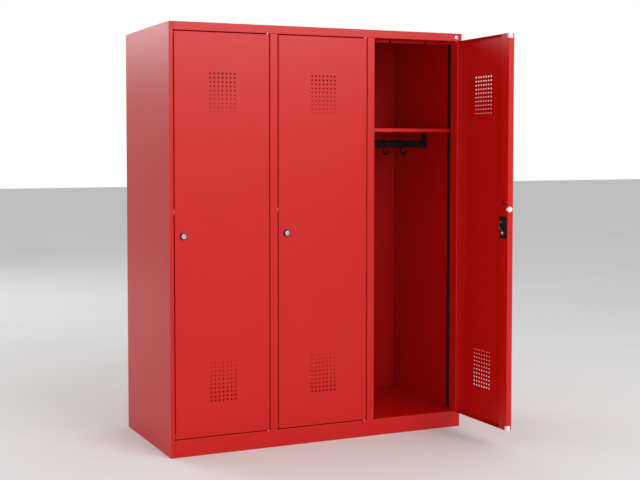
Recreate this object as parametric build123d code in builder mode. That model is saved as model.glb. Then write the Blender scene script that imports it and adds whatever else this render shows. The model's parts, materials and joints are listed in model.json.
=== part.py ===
from build123d import *
import os

# Three-bay steel school locker with full-height inset doors, shelves, coat rails and cam locks.
# The cabinet stands on Z = 0 with its front at -Y. The origin is the middle of its footprint.
# Doors 1 and 2 are closed and door 3 stands open at a right angle.

# Driving dimensions, in millimetres
WIDTH = 1200.0
DEPTH = 500.0
HEIGHT = 1530.0
SHEET = 0.8
BEND = 1.6
BAYS = 3
PLINTH = 62.0
TOP_RAIL = 30.0
POST = 15.0
POST_DEPTH = 70.0
POST_SLIT = 3.0
PARTITION_LAP = 20.0
PARTITION_CUT = 10.0
GAP = 3.0
DOOR_THICK = 22.0
DOOR_LIP = 44.0
OPEN_BAY = 3
OPEN_ANGLE = 90.0

# Places that follow from them
HALF = SHEET / 2
PITCH = WIDTH / BAYS
FRONT = -DEPTH / 2
BACK = DEPTH / 2
POST_BACK = FRONT + POST_DEPTH
REAR = BACK - 2 * SHEET - HALF
OPENING = PITCH - 2 * POST
RAIL_Z = HEIGHT - TOP_RAIL
INNER_HALF = PITCH / 2 - SHEET
DOOR_W = OPENING - 2 * GAP
DOOR_Z0 = PLINTH + GAP
DOOR_Z1 = RAIL_Z - GAP
DOOR_H = DOOR_Z1 - DOOR_Z0
DOOR_MID = (DOOR_Z0 + DOOR_Z1) / 2

# Hinge pin, measured from the door's outer hinge-side corner
PIN_X = 6.0
PIN_Y = 5.0
PIN_R = 3.0
PIN_FIT = 0.05
COLLAR_R = 4.5
LIFT = 0.3

# The door's own frame: the pin is its origin, x runs along the door and y into its thickness
EDGE_X = PIN_X - DOOR_W
FACE_Y = -PIN_Y
INNER_Y = DOOR_THICK - PIN_Y

# Vents: the middle of each field is measured from the door's foot and from its head, and the
# holes shrink row by row towards the door's middle
VENT_COLS, VENT_ROWS = 7, 10
VENT_PITCH_X, VENT_PITCH_Z = 15.6, 15.0
VENT_R_LARGE, VENT_R_SMALL = 3.1, 1.7
VENT_FOOT, VENT_HEAD = 193.5, 212.0

# Lock
LOCK_X = EDGE_X + 32.0
LOCK_Z = DOOR_MID
PLUG_R, PLUG_NOSE = 9.0, 0.6
KEYWAY_W, KEYWAY_H, KEYWAY_R, KEYWAY_DEEP = 2.6, 10.0, 2.4, 3.0
BEZEL_R, BEZEL_PROUD = 12.2, 7.5
SKIN_HOLE_R = 10.8
CASE_W, CASE_H, CASE_ROUND = 43.0, 80.0, 3.0
CASE_X = EDGE_X + 27.5
CASE_Z = LOCK_Z + 20.0
CASE_PROUD = 1.0
NOTCH_HALF, NOTCH_DEEP = 13.0, 8.0
SQUARE = 9.0
NUT_R, NUT_THICK = 7.0, 2.5
CAM_HUB_R, CAM_WIDTH, CAM_THICK, CAM_BEND = 9.0, 7.0, 2.5, 4.0
CAM_LINE = ((0, 0), (6, 12), (20, 15), (24.5, 26), (16, 37), (3, 39.5))
CAM_Y0 = INNER_Y + CASE_PROUD + LIFT
CAM_Y1 = CAM_Y0 + CAM_THICK
STRIKE_LOW, STRIKE_HIGH = LOCK_Z - 12.0, LOCK_Z + 36.0
STRIKE_AHEAD, STRIKE_BEHIND = 3.0, 5.0

# Tapered slot above the lock case, narrow end down
SLOT_X, SLOT_Z = EDGE_X + 28.0, LOCK_Z + 111.0
SLOT_W, SLOT_H, SLOT_SLANT = 20.0, 21.0, 75.0

# White trim on the lock-side edge
BUFFER_R, BUFFER_THICK, BUFFER_LAP = 10.0, 2.0, 2.0
BUFFER_Z = LOCK_Z + 86.0
TAB_HALF = 7.0
CAP_H, CAP_W, CAP_THICK, CAP_WRAP = 18.0, 15.0, 1.6, 9.0

# Inside of a bay
SHELF_TOP = 1164.0
SHELF_LIP, SHELF_RETURN = 14.0, 10.0
SHELF_FRONT = FRONT + 28.0
SHELF_FIT = 0.4
STRIP_W, STRIP_THICK, STRIP_END = 26.0, 2.0, 1.0
RAIL_HEIGHT, RAIL_THICK = 29.5, 15.0
HANG_Z = 1107.0
BRACKET_W, EYE_WALL = 16.0, 3.0
STEM_W, FOOT_W, FOOT_THICK = 12.0, 30.0, 4.0
HOOKS = 3
HOOK_SPACING = 82.0
HOOK_W = 9.0
HOOK_FIT = 0.4
HOOK_WALL = 2.4
ARM_THICK, ARM_BEND = 5.0, 9.0
ARM_LINE = ((0, 0), (0, -13), (-12, -25), (-32, -24), (-40, -10))

os.makedirs("parts", exist_ok=True)


def bay_x(bay):
    """Middle of a bay, counted from 1 at the left."""
    return (bay - (BAYS + 1) / 2) * PITCH


def save(builder, name):
    """Label a finished piece and write it."""
    builder.part.label = name
    export_step(builder.part, f"parts/{name}.step")


def box_between(low, high, mode=Mode.ADD):
    """Box between two corners, in the surrounding part."""
    middle = tuple((a + b) / 2 for a, b in zip(low, high))
    size = [b - a for a, b in zip(low, high)]
    with Locations(middle):
        Box(*size, mode=mode)


def folded_sheet(points, plane, length):
    """Sheet bent along the given centre line and extruded from the plane."""
    with BuildSketch(plane) as profile:
        with BuildLine():
            FilletPolyline(*points, radius=BEND)
        trace(line_width=SHEET)
    extrude(profile.sketch, amount=length)


def strike_slot(x):
    """Slot in a post's return that the lock's cam turns into."""
    depth = FRONT + PIN_Y + CAM_Y0
    box_between(
        (x - 4 * SHEET, depth - STRIKE_AHEAD, STRIKE_LOW),
        (x + 4 * SHEET, depth + CAM_THICK + STRIKE_BEHIND, STRIKE_HIGH),
        mode=Mode.SUBTRACT,
    )


# Side panels: one sheet each, folded round the front into a hollow post
for side, name in ((-1, "left_side_panel"), (1, "right_side_panel")):
    outer = side * (WIDTH / 2 - HALF)
    inner = side * (WIDTH / 2 - POST + HALF)
    with BuildPart() as panel:
        folded_sheet(
            [
                (side * (WIDTH / 2 - POST), BACK - HALF),
                (outer, BACK - HALF),
                (outer, FRONT + HALF),
                (inner, FRONT + HALF),
                (inner, POST_BACK - HALF),
                (outer - side * POST_SLIT, POST_BACK - HALF),
            ],
            Plane.XY,
            HEIGHT - SHEET,
        )
        if side < 0:
            strike_slot(inner)
    save(panel, name)

# Mullions and partitions between the bays
for number in range(1, BAYS):
    middle = bay_x(number) + PITCH / 2
    reach = POST - HALF
    with BuildPart() as mullion:
        folded_sheet(
            [
                (middle - HALF, POST_BACK - HALF),
                (middle - reach, POST_BACK - HALF),
                (middle - reach, FRONT + HALF),
                (middle + reach, FRONT + HALF),
                (middle + reach, POST_BACK - HALF),
                (middle + HALF, POST_BACK - HALF),
            ],
            Plane.XY.offset(PLINTH),
            RAIL_Z - PLINTH,
        )
        strike_slot(middle + reach)
    save(mullion, f"mullion_{number}")
    with BuildPart() as partition:
        box_between(
            (middle - HALF, POST_BACK - PARTITION_LAP, PLINTH),
            (middle + HALF, BACK - 2 * SHEET, HEIGHT - SHEET),
        )
        box_between(
            (middle - HALF, FRONT, RAIL_Z - PARTITION_CUT),
            (middle + HALF, POST_BACK, HEIGHT),
            mode=Mode.SUBTRACT,
        )
    save(partition, f"partition_{number}")

# Back panel, inside the side panels' rear flanges, with two holes for fixing to a wall
WALL_HOLE_R = 4.0
WALL_HOLE_X = PITCH
WALL_HOLE_Z = 1400.0
with BuildPart() as back_panel:
    box_between(
        (-WIDTH / 2 + SHEET + BEND, BACK - 2 * SHEET, SHEET),
        (WIDTH / 2 - SHEET - BEND, BACK - SHEET, HEIGHT - SHEET),
    )
    with Locations(Plane((0, BACK, WALL_HOLE_Z), x_dir=(-1, 0, 0), z_dir=(0, 1, 0))):
        with Locations((-WALL_HOLE_X, 0), (WALL_HOLE_X, 0)):
            Hole(radius=WALL_HOLE_R, depth=4 * SHEET)
save(back_panel, "back_panel")

# Top panel with the front rail folded down, under and down again as a stop lip
NOTCH_X, NOTCH_W, STOP_LIP = 78.0, 9.0, 8.0
with BuildPart() as top_panel:
    half_rail = WIDTH / 2 - POST
    box_between((-WIDTH / 2, FRONT, HEIGHT - SHEET), (WIDTH / 2, BACK, HEIGHT))
    box_between((-half_rail, FRONT, RAIL_Z), (half_rail, FRONT + SHEET, HEIGHT))
    box_between((-half_rail, FRONT, RAIL_Z), (half_rail, POST_BACK, RAIL_Z + SHEET))
    for bay in range(1, BAYS + 1):
        x = bay_x(bay)
        box_between(
            (x - OPENING / 2, POST_BACK - SHEET, RAIL_Z - STOP_LIP),
            (x + OPENING / 2, POST_BACK, RAIL_Z + SHEET),
        )
        for notch in (x - NOTCH_X, x + NOTCH_X):
            box_between(
                (notch - NOTCH_W / 2, POST_BACK - 2 * SHEET, RAIL_Z - STOP_LIP),
                (notch + NOTCH_W / 2, POST_BACK + SHEET, RAIL_Z),
                mode=Mode.SUBTRACT,
            )
save(top_panel, "top_panel")

# Base tray: bottom sheet, plinth front and the ledge that carries the lower hinge pins
RELIEF_W, RELIEF_D = 18.0, 38.0
RELIEF_X, RELIEF_Y = 1.0, 2.0
with BuildPart() as base_tray:
    half_rail = WIDTH / 2 - POST
    box_between((-WIDTH / 2 + SHEET, POST_BACK, 0), (WIDTH / 2 - SHEET, REAR, SHEET))
    box_between((-half_rail, FRONT, 0), (half_rail, POST_BACK, SHEET))
    box_between((-half_rail, FRONT, 0), (half_rail, FRONT + SHEET, PLINTH))
    box_between((-half_rail, FRONT, PLINTH - SHEET), (half_rail, POST_BACK, PLINTH))
    for bay in range(1, BAYS + 1):
        corner = bay_x(bay) - OPENING / 2
        box_between(
            (corner + RELIEF_X, FRONT + RELIEF_Y, PLINTH - 2 * SHEET),
            (corner + RELIEF_W, FRONT + RELIEF_D, PLINTH + SHEET),
            mode=Mode.SUBTRACT,
        )
save(base_tray, "base_tray")

# Floors, shelves, rails and hooks of each bay
TRAY_FLANGE = 12.0
for bay in range(1, BAYS + 1):
    x = bay_x(bay)
    left = x - PITCH / 2 + (SHEET if bay == 1 else HALF)
    right = x + PITCH / 2 - (SHEET if bay == BAYS else HALF)
    with BuildPart() as floor:
        box_between((left, POST_BACK, PLINTH - TRAY_FLANGE), (right, REAR, PLINTH))
        box_between(
            (left + SHEET, POST_BACK + SHEET, PLINTH - TRAY_FLANGE),
            (right - SHEET, REAR - SHEET, PLINTH - SHEET),
            mode=Mode.SUBTRACT,
        )
    save(floor, f"floor_{bay}")

    half_front = OPENING / 2 - SHELF_FIT
    with BuildPart() as shelf:
        box_between((left, POST_BACK, SHELF_TOP - TRAY_FLANGE), (right, REAR, SHELF_TOP))
        box_between(
            (left + SHEET, POST_BACK, SHELF_TOP - TRAY_FLANGE),
            (right - SHEET, REAR - SHEET, SHELF_TOP - SHEET),
            mode=Mode.SUBTRACT,
        )
        box_between(
            (x - half_front, SHELF_FRONT, SHELF_TOP - SHEET),
            (x + half_front, POST_BACK + SHEET, SHELF_TOP),
        )
        box_between(
            (x - half_front, SHELF_FRONT, SHELF_TOP - SHELF_LIP),
            (x + half_front, SHELF_FRONT + SHEET, SHELF_TOP),
        )
        box_between(
            (x - half_front, SHELF_FRONT, SHELF_TOP - SHELF_LIP),
            (x + half_front, SHELF_FRONT + SHELF_RETURN, SHELF_TOP - SHELF_LIP + SHEET),
        )
    save(shelf, f"shelf_{bay}")

    # Black cover strips on the hinge-side post, below and above the shelf
    strip_x = x + OPENING / 2
    with BuildPart() as strips:
        for low, high in (
            (PLINTH + STRIP_END, SHELF_TOP - SHELF_LIP - STRIP_END),
            (SHELF_TOP + STRIP_END, RAIL_Z - STOP_LIP - STRIP_END),
        ):
            box_between(
                (strip_x - STRIP_THICK, POST_BACK - STRIP_W, low), (strip_x, POST_BACK, high)
            )
    save(strips, f"hinge_strips_{bay}")

    # Coat rail: a flat oval bar between two drop brackets under the shelf
    bracket_in = PITCH / 2 - SHEET - BRACKET_W
    with BuildPart() as coat_rail:
        with BuildSketch(Plane.YZ.offset(x - bracket_in)):
            with Locations((0, HANG_Z)):
                SlotOverall(RAIL_HEIGHT, RAIL_THICK, rotation=90)
        extrude(amount=2 * bracket_in)
    save(coat_rail, f"coat_rail_{bay}")

    with BuildPart() as brackets:
        for side in (-1, 1):
            plane = Plane.YZ.offset(x + side * bracket_in)
            with BuildSketch(plane):
                with Locations((0, HANG_Z)):
                    SlotOverall(RAIL_HEIGHT + 2 * EYE_WALL, RAIL_THICK + 2 * EYE_WALL, rotation=90)
                with Locations((0, (HANG_Z + SHELF_TOP - SHEET) / 2)):
                    Rectangle(STEM_W, SHELF_TOP - SHEET - HANG_Z)
                with Locations((0, SHELF_TOP - SHEET - FOOT_THICK / 2)):
                    Rectangle(FOOT_W, FOOT_THICK)
            wall = (right - (x + bracket_in)) if side > 0 else (x - bracket_in) - left
            extrude(amount=side * (wall - SHEET))
    save(brackets, f"coat_rail_brackets_{bay}")

    for hook in range(1, HOOKS + 1):
        middle = x + (hook - (HOOKS + 1) / 2) * HOOK_SPACING
        plane = Plane.YZ.offset(middle - HOOK_W / 2)
        inner_h = RAIL_HEIGHT + 2 * HOOK_FIT
        inner_t = RAIL_THICK + 2 * HOOK_FIT
        under = HANG_Z - inner_h / 2 - HOOK_WALL / 2
        with BuildPart() as coat_hook:
            with BuildSketch(plane):
                with Locations((0, HANG_Z)):
                    SlotOverall(inner_h + 2 * HOOK_WALL, inner_t + 2 * HOOK_WALL, rotation=90)
            extrude(amount=HOOK_W)
            with BuildSketch(plane):
                with BuildLine():
                    FilletPolyline(*[(y, under + z) for y, z in ARM_LINE], radius=ARM_BEND)
                trace(line_width=ARM_THICK)
            extrude(amount=HOOK_W)
            with BuildSketch(plane):
                with Locations((0, HANG_Z)):
                    SlotOverall(inner_h, inner_t, rotation=90)
            extrude(amount=HOOK_W, mode=Mode.SUBTRACT)
        save(coat_hook, f"coat_hook_{bay}_{hook}")

# Rivet near the right end of the top rail
RIVET_X = WIDTH / 2 - 24.5
RIVET_Z = HEIGHT - 16.0
RIVET_R, RIVET_PROUD, RIVET_ROUND = 8.0, 1.6, 1.2
SOCKET_R, SOCKET_DEEP = 3.0, 1.2
with BuildPart() as rivet:
    rail_face = Plane((RIVET_X, FRONT, RIVET_Z), x_dir=(1, 0, 0), z_dir=(0, -1, 0))
    with BuildSketch(rail_face):
        Circle(RIVET_R)
    extrude(amount=RIVET_PROUD)
    fillet(rivet.edges().sort_by(Axis.Y)[0], radius=RIVET_ROUND)
    with BuildSketch(rail_face.offset(RIVET_PROUD)):
        Circle(SOCKET_R)
    extrude(amount=-SOCKET_DEEP, mode=Mode.SUBTRACT)
save(rivet, "top_rail_rivet")


def pin_point(bay):
    """Foot of a bay's hinge axis."""
    return (bay_x(bay) + OPENING / 2 - GAP - PIN_X, FRONT + PIN_Y, 0)


def door_plane(bay):
    """The door's own frame, turned open on the open bay."""
    angle = OPEN_ANGLE if bay == OPEN_BAY else 0.0
    return Plane(Location(pin_point(bay), (0, 0, angle)))


def at_height(bay, z):
    """Level plane in the door's frame."""
    return door_plane(bay).offset(z)


def facing(bay, x, y, z):
    """Upright plane parallel to the door, with its normal out of the front."""
    frame = door_plane(bay)
    origin = frame.from_local_coords((x, y, z))
    return Plane(origin, x_dir=frame.x_dir, z_dir=frame.y_dir * -1)


def edge_plane(bay, y, z):
    """Upright plane on the door's lock-side edge, normal out of the edge, x out of the front."""
    frame = door_plane(bay)
    origin = frame.from_local_coords((EDGE_X, y, z))
    return Plane(origin, x_dir=frame.y_dir * -1, z_dir=frame.x_dir * -1)


def slab(bay, low, high, mode=Mode.ADD):
    """Box between two corners given in the door's frame."""
    with BuildSketch(at_height(bay, low[2])) as outline:
        with Locations(((low[0] + high[0]) / 2, (low[1] + high[1]) / 2)):
            Rectangle(high[0] - low[0], high[1] - low[1])
    extrude(outline.sketch, amount=high[2] - low[2], mode=mode)


PIN_LENGTH = 16.0
for bay in range(1, BAYS + 1):
    # Hinge pins with collars, fixed to the top rail and the base ledge
    with BuildPart() as pins:
        foot = Plane(pin_point(bay))
        for start, collar, length in (
            (PLINTH, GAP - LIFT, PIN_LENGTH),
            (RAIL_Z, LIFT - GAP, -PIN_LENGTH),
        ):
            with BuildSketch(foot.offset(start)):
                Circle(COLLAR_R)
            extrude(amount=collar)
            with BuildSketch(foot.offset(start)):
                Circle(PIN_R)
            extrude(amount=length)
    save(pins, f"hinge_pins_{bay}")

    # Door pan: skin, returns on four sides, a boxed stiffener down the hinge edge and a lip down
    # the lock edge
    with BuildPart() as door_pan:
        folded_sheet(
            [
                (PIN_X - DOOR_LIP, INNER_Y - HALF),
                (PIN_X - HALF, INNER_Y - HALF),
                (PIN_X - HALF, FACE_Y + HALF),
                (EDGE_X + HALF, FACE_Y + HALF),
                (EDGE_X + HALF, INNER_Y - HALF),
                (EDGE_X + DOOR_LIP, INNER_Y - HALF),
            ],
            at_height(bay, DOOR_Z0),
            DOOR_H,
        )
        slab(
            bay,
            (PIN_X - DOOR_LIP, FACE_Y + HALF, DOOR_Z0),
            (PIN_X - DOOR_LIP + SHEET, INNER_Y, DOOR_Z1),
        )
        for low, high in ((DOOR_Z0, DOOR_Z0 + SHEET), (DOOR_Z1 - SHEET, DOOR_Z1)):
            slab(bay, (EDGE_X + HALF, FACE_Y + HALF, low), (PIN_X - HALF, INNER_Y - HALF, high))
        with BuildSketch(at_height(bay, DOOR_Z0)):
            Circle(PIN_R + PIN_FIT)
        extrude(amount=DOOR_H, mode=Mode.SUBTRACT)
        skin_middle = EDGE_X + DOOR_W / 2
        for z, outward in ((DOOR_Z0 + VENT_FOOT, -1), (DOOR_Z1 - VENT_HEAD, 1)):
            with BuildSketch(facing(bay, skin_middle, FACE_Y, z)):
                for row in range(VENT_ROWS):
                    level = outward * ((VENT_ROWS - 1) / 2 - row) * VENT_PITCH_Z
                    shrink = row / (VENT_ROWS - 1)
                    with Locations((0, level)), GridLocations(VENT_PITCH_X, 0, VENT_COLS, 1):
                        Circle(VENT_R_LARGE + (VENT_R_SMALL - VENT_R_LARGE) * shrink)
            extrude(amount=-2 * SHEET, mode=Mode.SUBTRACT)
        with BuildSketch(facing(bay, LOCK_X, FACE_Y, LOCK_Z)):
            Circle(SKIN_HOLE_R)
        extrude(amount=-2 * SHEET, mode=Mode.SUBTRACT)
        # Window for the lock case and the tapered slot above it, both in the inner lip
        slab(
            bay,
            (CASE_X - CASE_W / 2 - LIFT, INNER_Y - 2 * SHEET, CASE_Z - CASE_H / 2 - LIFT),
            (EDGE_X + DOOR_LIP + 1, INNER_Y + SHEET, CASE_Z + CASE_H / 2 + LIFT),
            mode=Mode.SUBTRACT,
        )
        with BuildSketch(facing(bay, SLOT_X, INNER_Y + SHEET, SLOT_Z)):
            Trapezoid(SLOT_W, SLOT_H, SLOT_SLANT, rotation=180)
        extrude(amount=3 * SHEET, mode=Mode.SUBTRACT)
    save(door_pan, f"door_{bay}_pan")

    # White caps that close the pan's lock-side corners
    with BuildPart() as caps:
        for low, high in ((DOOR_Z0, DOOR_Z0 + CAP_H), (DOOR_Z1 - CAP_H, DOOR_Z1)):
            slab(
                bay,
                (EDGE_X - CAP_THICK, INNER_Y - CAP_W, low),
                (EDGE_X, INNER_Y + CAP_THICK, high),
            )
            slab(bay, (EDGE_X, INNER_Y, low), (EDGE_X + CAP_WRAP, INNER_Y + CAP_THICK, high))
    save(caps, f"door_{bay}_corner_caps")

    # White buffer on the lock-side edge, clipped round the inner lip
    with BuildPart() as buffer:
        with BuildSketch(edge_plane(bay, INNER_Y - BUFFER_R + BUFFER_LAP, BUFFER_Z)):
            Circle(BUFFER_R)
        extrude(amount=BUFFER_THICK)
        slab(
            bay,
            (EDGE_X, INNER_Y, BUFFER_Z - TAB_HALF),
            (EDGE_X + CAP_WRAP, INNER_Y + CAP_THICK, BUFFER_Z + TAB_HALF),
        )
    save(buffer, f"door_{bay}_buffer")

    # Black bezel ring round the lock, with a neck through the skin
    with BuildPart() as bezel:
        with BuildSketch(facing(bay, LOCK_X, FACE_Y, LOCK_Z)):
            Circle(BEZEL_R)
        extrude(amount=BEZEL_PROUD)
        with BuildSketch(facing(bay, LOCK_X, FACE_Y, LOCK_Z)):
            Circle(SKIN_HOLE_R)
        extrude(amount=-SHEET)
        with BuildSketch(facing(bay, LOCK_X, FACE_Y - BEZEL_PROUD, LOCK_Z)):
            Circle(PLUG_R + PIN_FIT)
        extrude(amount=-BEZEL_PROUD - SHEET, mode=Mode.SUBTRACT)
    save(bezel, f"door_{bay}_lock_bezel")

    # Black lock case in the door's thickness, notched at its foot
    case_front = FACE_Y + SHEET
    case_depth = INNER_Y + CASE_PROUD - case_front
    with BuildPart() as case:
        with BuildSketch(facing(bay, CASE_X, case_front, CASE_Z)):
            RectangleRounded(CASE_W, CASE_H, CASE_ROUND)
            foot = -CASE_H / 2
            with BuildLine():
                Polyline((-NOTCH_HALF, foot), (0, foot + NOTCH_DEEP), (NOTCH_HALF, foot), close=True)
            make_face(mode=Mode.SUBTRACT)
        extrude(amount=-case_depth)
        with BuildSketch(facing(bay, LOCK_X, case_front, LOCK_Z)):
            Circle(PLUG_R + PIN_FIT)
        extrude(amount=-case_depth, mode=Mode.SUBTRACT)
    save(case, f"door_{bay}_lock_case")

    # Silver plug with its keyway, a square for the cam and the nut that holds it
    plug_front = FACE_Y - BEZEL_PROUD - PLUG_NOSE
    with BuildPart() as plug:
        with BuildSketch(facing(bay, LOCK_X, plug_front, LOCK_Z)):
            Circle(PLUG_R)
        extrude(amount=plug_front - CAM_Y0)
        with BuildSketch(facing(bay, LOCK_X, CAM_Y0, LOCK_Z)):
            Rectangle(SQUARE, SQUARE)
        extrude(amount=-CAM_THICK)
        with BuildSketch(facing(bay, LOCK_X, CAM_Y1, LOCK_Z)):
            Circle(NUT_R)
        extrude(amount=-NUT_THICK)
        with BuildSketch(facing(bay, LOCK_X, plug_front, LOCK_Z)):
            Rectangle(KEYWAY_W, KEYWAY_H)
            Circle(KEYWAY_R)
        extrude(amount=-KEYWAY_DEEP, mode=Mode.SUBTRACT)
    save(plug, f"lock_{bay}_plug")

    # Silver hook cam, upright while unlocked
    with BuildPart() as cam:
        with BuildSketch(facing(bay, LOCK_X, CAM_Y0, LOCK_Z)):
            Circle(CAM_HUB_R)
            with BuildLine():
                FilletPolyline(*CAM_LINE, radius=CAM_BEND)
            trace(line_width=CAM_WIDTH)
            Rectangle(SQUARE, SQUARE, mode=Mode.SUBTRACT)
        extrude(amount=-CAM_THICK)
    save(cam, f"lock_{bay}_cam")
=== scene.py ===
import json
import logging
import math
from collections.abc import Callable, Sequence
from dataclasses import dataclass, field
from enum import Enum

import bmesh
import bpy
from mathutils import Matrix, Vector


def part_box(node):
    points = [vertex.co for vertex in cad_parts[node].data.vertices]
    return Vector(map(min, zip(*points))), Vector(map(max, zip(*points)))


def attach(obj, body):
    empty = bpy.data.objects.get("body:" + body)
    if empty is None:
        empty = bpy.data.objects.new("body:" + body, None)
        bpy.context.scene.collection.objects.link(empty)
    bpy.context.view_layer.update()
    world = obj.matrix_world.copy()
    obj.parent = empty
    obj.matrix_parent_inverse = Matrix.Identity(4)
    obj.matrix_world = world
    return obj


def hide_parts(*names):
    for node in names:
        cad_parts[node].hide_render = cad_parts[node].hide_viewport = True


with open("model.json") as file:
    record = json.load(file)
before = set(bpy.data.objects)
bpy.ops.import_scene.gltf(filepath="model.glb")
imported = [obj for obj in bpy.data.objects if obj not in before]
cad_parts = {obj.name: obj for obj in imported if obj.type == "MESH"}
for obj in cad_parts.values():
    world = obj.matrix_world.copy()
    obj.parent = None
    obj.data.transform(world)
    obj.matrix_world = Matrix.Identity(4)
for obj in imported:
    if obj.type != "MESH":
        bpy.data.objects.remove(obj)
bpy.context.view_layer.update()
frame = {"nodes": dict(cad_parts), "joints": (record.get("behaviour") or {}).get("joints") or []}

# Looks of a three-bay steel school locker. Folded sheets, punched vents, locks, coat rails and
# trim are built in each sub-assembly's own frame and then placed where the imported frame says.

log = logging.getLogger("locker")

MM = 0.001
SHEET = 0.8 * MM
HALF = SHEET / 2
BEND = 1.6 * MM
BEND_STEPS = 5
TINY = 0.005 * MM
SHARP = math.radians(34)

Pair = tuple[float, float]
Placer = Callable[[float, float, float], Vector]
Socket = bpy.types.NodeSocket
Number = Socket | float
Test = Callable[[Vector], bool]


# ---------------------------------------------------------------- finishes


class Slot(Enum):
    """The record's material slots."""

    RED = "red_powder_coat"
    BLACK = "black_plastic"
    WHITE = "white_plastic"
    ZINC = "bright_zinc"


class Shader:
    """Small helper that wires a Principled material from named nodes."""

    def __init__(self, name: str) -> None:
        """Start an empty node material.

        Args:
            name: Material name.
        """
        self.material = bpy.data.materials.new(name)
        self.material.use_nodes = True
        self.nodes = self.material.node_tree.nodes
        self.links = self.material.node_tree.links
        self.nodes.clear()
        self.surface = self.nodes.new("ShaderNodeBsdfPrincipled")
        output = self.nodes.new("ShaderNodeOutputMaterial")
        self.links.new(self.surface.outputs["BSDF"], output.inputs["Surface"])
        self.place = self.nodes.new("ShaderNodeTexCoord").outputs["Object"]

    def noise(
        self, scale: float, detail: float = 2.0, stretch: Sequence[float] | None = None
    ) -> Socket:
        """Noise value in object space.

        Args:
            scale: Bumps per metre.
            detail: Octaves.
            stretch: Optional scale of each axis before the noise.

        Returns:
            The noise node's value socket.
        """
        source = self.place
        if stretch is not None:
            mapping = self.nodes.new("ShaderNodeMapping")
            mapping.inputs["Scale"].default_value = stretch
            self.links.new(source, mapping.inputs["Vector"])
            source = mapping.outputs["Vector"]
        node = self.nodes.new("ShaderNodeTexNoise")
        node.inputs["Scale"].default_value = scale
        node.inputs["Detail"].default_value = detail
        self.links.new(source, node.inputs["Vector"])
        return node.outputs["Fac"]

    def spread(self, value: Socket, low: float, high: float) -> Socket:
        """Map the middle of a noise onto a range.

        Args:
            value: Socket with a noise value.
            low: Result where the noise is low.
            high: Result where the noise is high.

        Returns:
            The mapped socket.
        """
        node = self.nodes.new("ShaderNodeMapRange")
        node.inputs["From Min"].default_value = 0.3
        node.inputs["From Max"].default_value = 0.7
        node.inputs["To Min"].default_value = low
        node.inputs["To Max"].default_value = high
        self.links.new(value, node.inputs["Value"])
        return node.outputs["Result"]

    def tint(self, value: Socket, dark: Sequence[float], light: Sequence[float]) -> None:
        """Blend two colours by a noise and use the result as the base colour."""
        node = self.nodes.new("ShaderNodeMix")
        node.data_type = "RGBA"
        node.inputs["A"].default_value = (*dark, 1.0)
        node.inputs["B"].default_value = (*light, 1.0)
        self.links.new(self.spread(value, 0.0, 1.0), node.inputs["Factor"])
        self.links.new(node.outputs["Result"], self.surface.inputs["Base Color"])

    def relief(self, layers: Sequence[tuple[Socket, float]]) -> None:
        """Stack bumps on the surface normal.

        Args:
            layers: Height socket and depth in metres of each bump.
        """
        normal = None
        for height, depth in layers:
            node = self.nodes.new("ShaderNodeBump")
            node.inputs["Strength"].default_value = 1.0
            node.inputs["Distance"].default_value = depth
            self.links.new(height, node.inputs["Height"])
            if normal is not None:
                self.links.new(normal, node.inputs["Normal"])
            normal = node.outputs["Normal"]
        self.links.new(normal, self.surface.inputs["Normal"])

    def roughness(self, value: Socket, low: float, high: float) -> None:
        """Vary the roughness between two values."""
        self.links.new(self.spread(value, low, high), self.surface.inputs["Roughness"])


@dataclass(frozen=True)
class PowderCoat:
    """Semi-gloss powder coat with orange peel, faint pigment drift and uneven gloss."""

    colour: tuple[float, float, float] = (0.535, 0.0045, 0.0032)
    drift: float = 0.015
    gloss: tuple[float, float] = (0.34, 0.38)
    shine: float = 0.36
    peel: tuple[float, float] = (420.0, 0.012 * MM)
    grain: tuple[float, float] = (2600.0, 0.004 * MM)

    def material(self, name: str) -> bpy.types.Material:
        """Build the coat as a material."""
        shader = Shader(name)
        shader.surface.inputs["Specular IOR Level"].default_value = self.shine
        dark = [c * (1 - self.drift) for c in self.colour]
        light = [c * (1 + self.drift) for c in self.colour]
        shader.tint(shader.noise(5.0, 3.0), dark, light)
        shader.roughness(shader.noise(38.0, 4.0), *self.gloss)
        shader.relief(
            [
                (shader.noise(self.peel[0], 1.5), self.peel[1]),
                (shader.noise(self.grain[0], 1.0), self.grain[1]),
            ]
        )
        return shader.material


@dataclass(frozen=True)
class MouldedPlastic:
    """Moulded plastic with a fine spark-eroded grain."""

    dark: tuple[float, float, float]
    light: tuple[float, float, float]
    gloss: tuple[float, float]
    shine: float = 0.5
    grain: tuple[float, float] = (1700.0, 0.02 * MM)

    def material(self, name: str) -> bpy.types.Material:
        """Build the plastic as a material."""
        shader = Shader(name)
        shader.surface.inputs["Specular IOR Level"].default_value = self.shine
        shader.tint(shader.noise(60.0, 4.0), self.dark, self.light)
        shader.roughness(shader.noise(240.0, 3.0), *self.gloss)
        shader.relief([(shader.noise(self.grain[0], 2.0), self.grain[1])])
        return shader.material


@dataclass(frozen=True)
class ZincPlate:
    """Bright zinc on turned and stamped steel, with brushing along one axis."""

    colour: tuple[float, float, float] = (0.66, 0.65, 0.62)
    gloss: tuple[float, float] = (0.20, 0.38)
    brush: tuple[float, float, float] = (900.0, 900.0, 40.0)

    def material(self, name: str) -> bpy.types.Material:
        """Build the plating as a material."""
        shader = Shader(name)
        shader.surface.inputs["Metallic"].default_value = 1.0
        shader.tint(shader.noise(90.0, 3.0), [c * 0.86 for c in self.colour], self.colour)
        shader.roughness(shader.noise(160.0, 4.0), *self.gloss)
        shader.relief([(shader.noise(3.0, 3.0, self.brush), 0.01 * MM)])
        return shader.material


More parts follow.
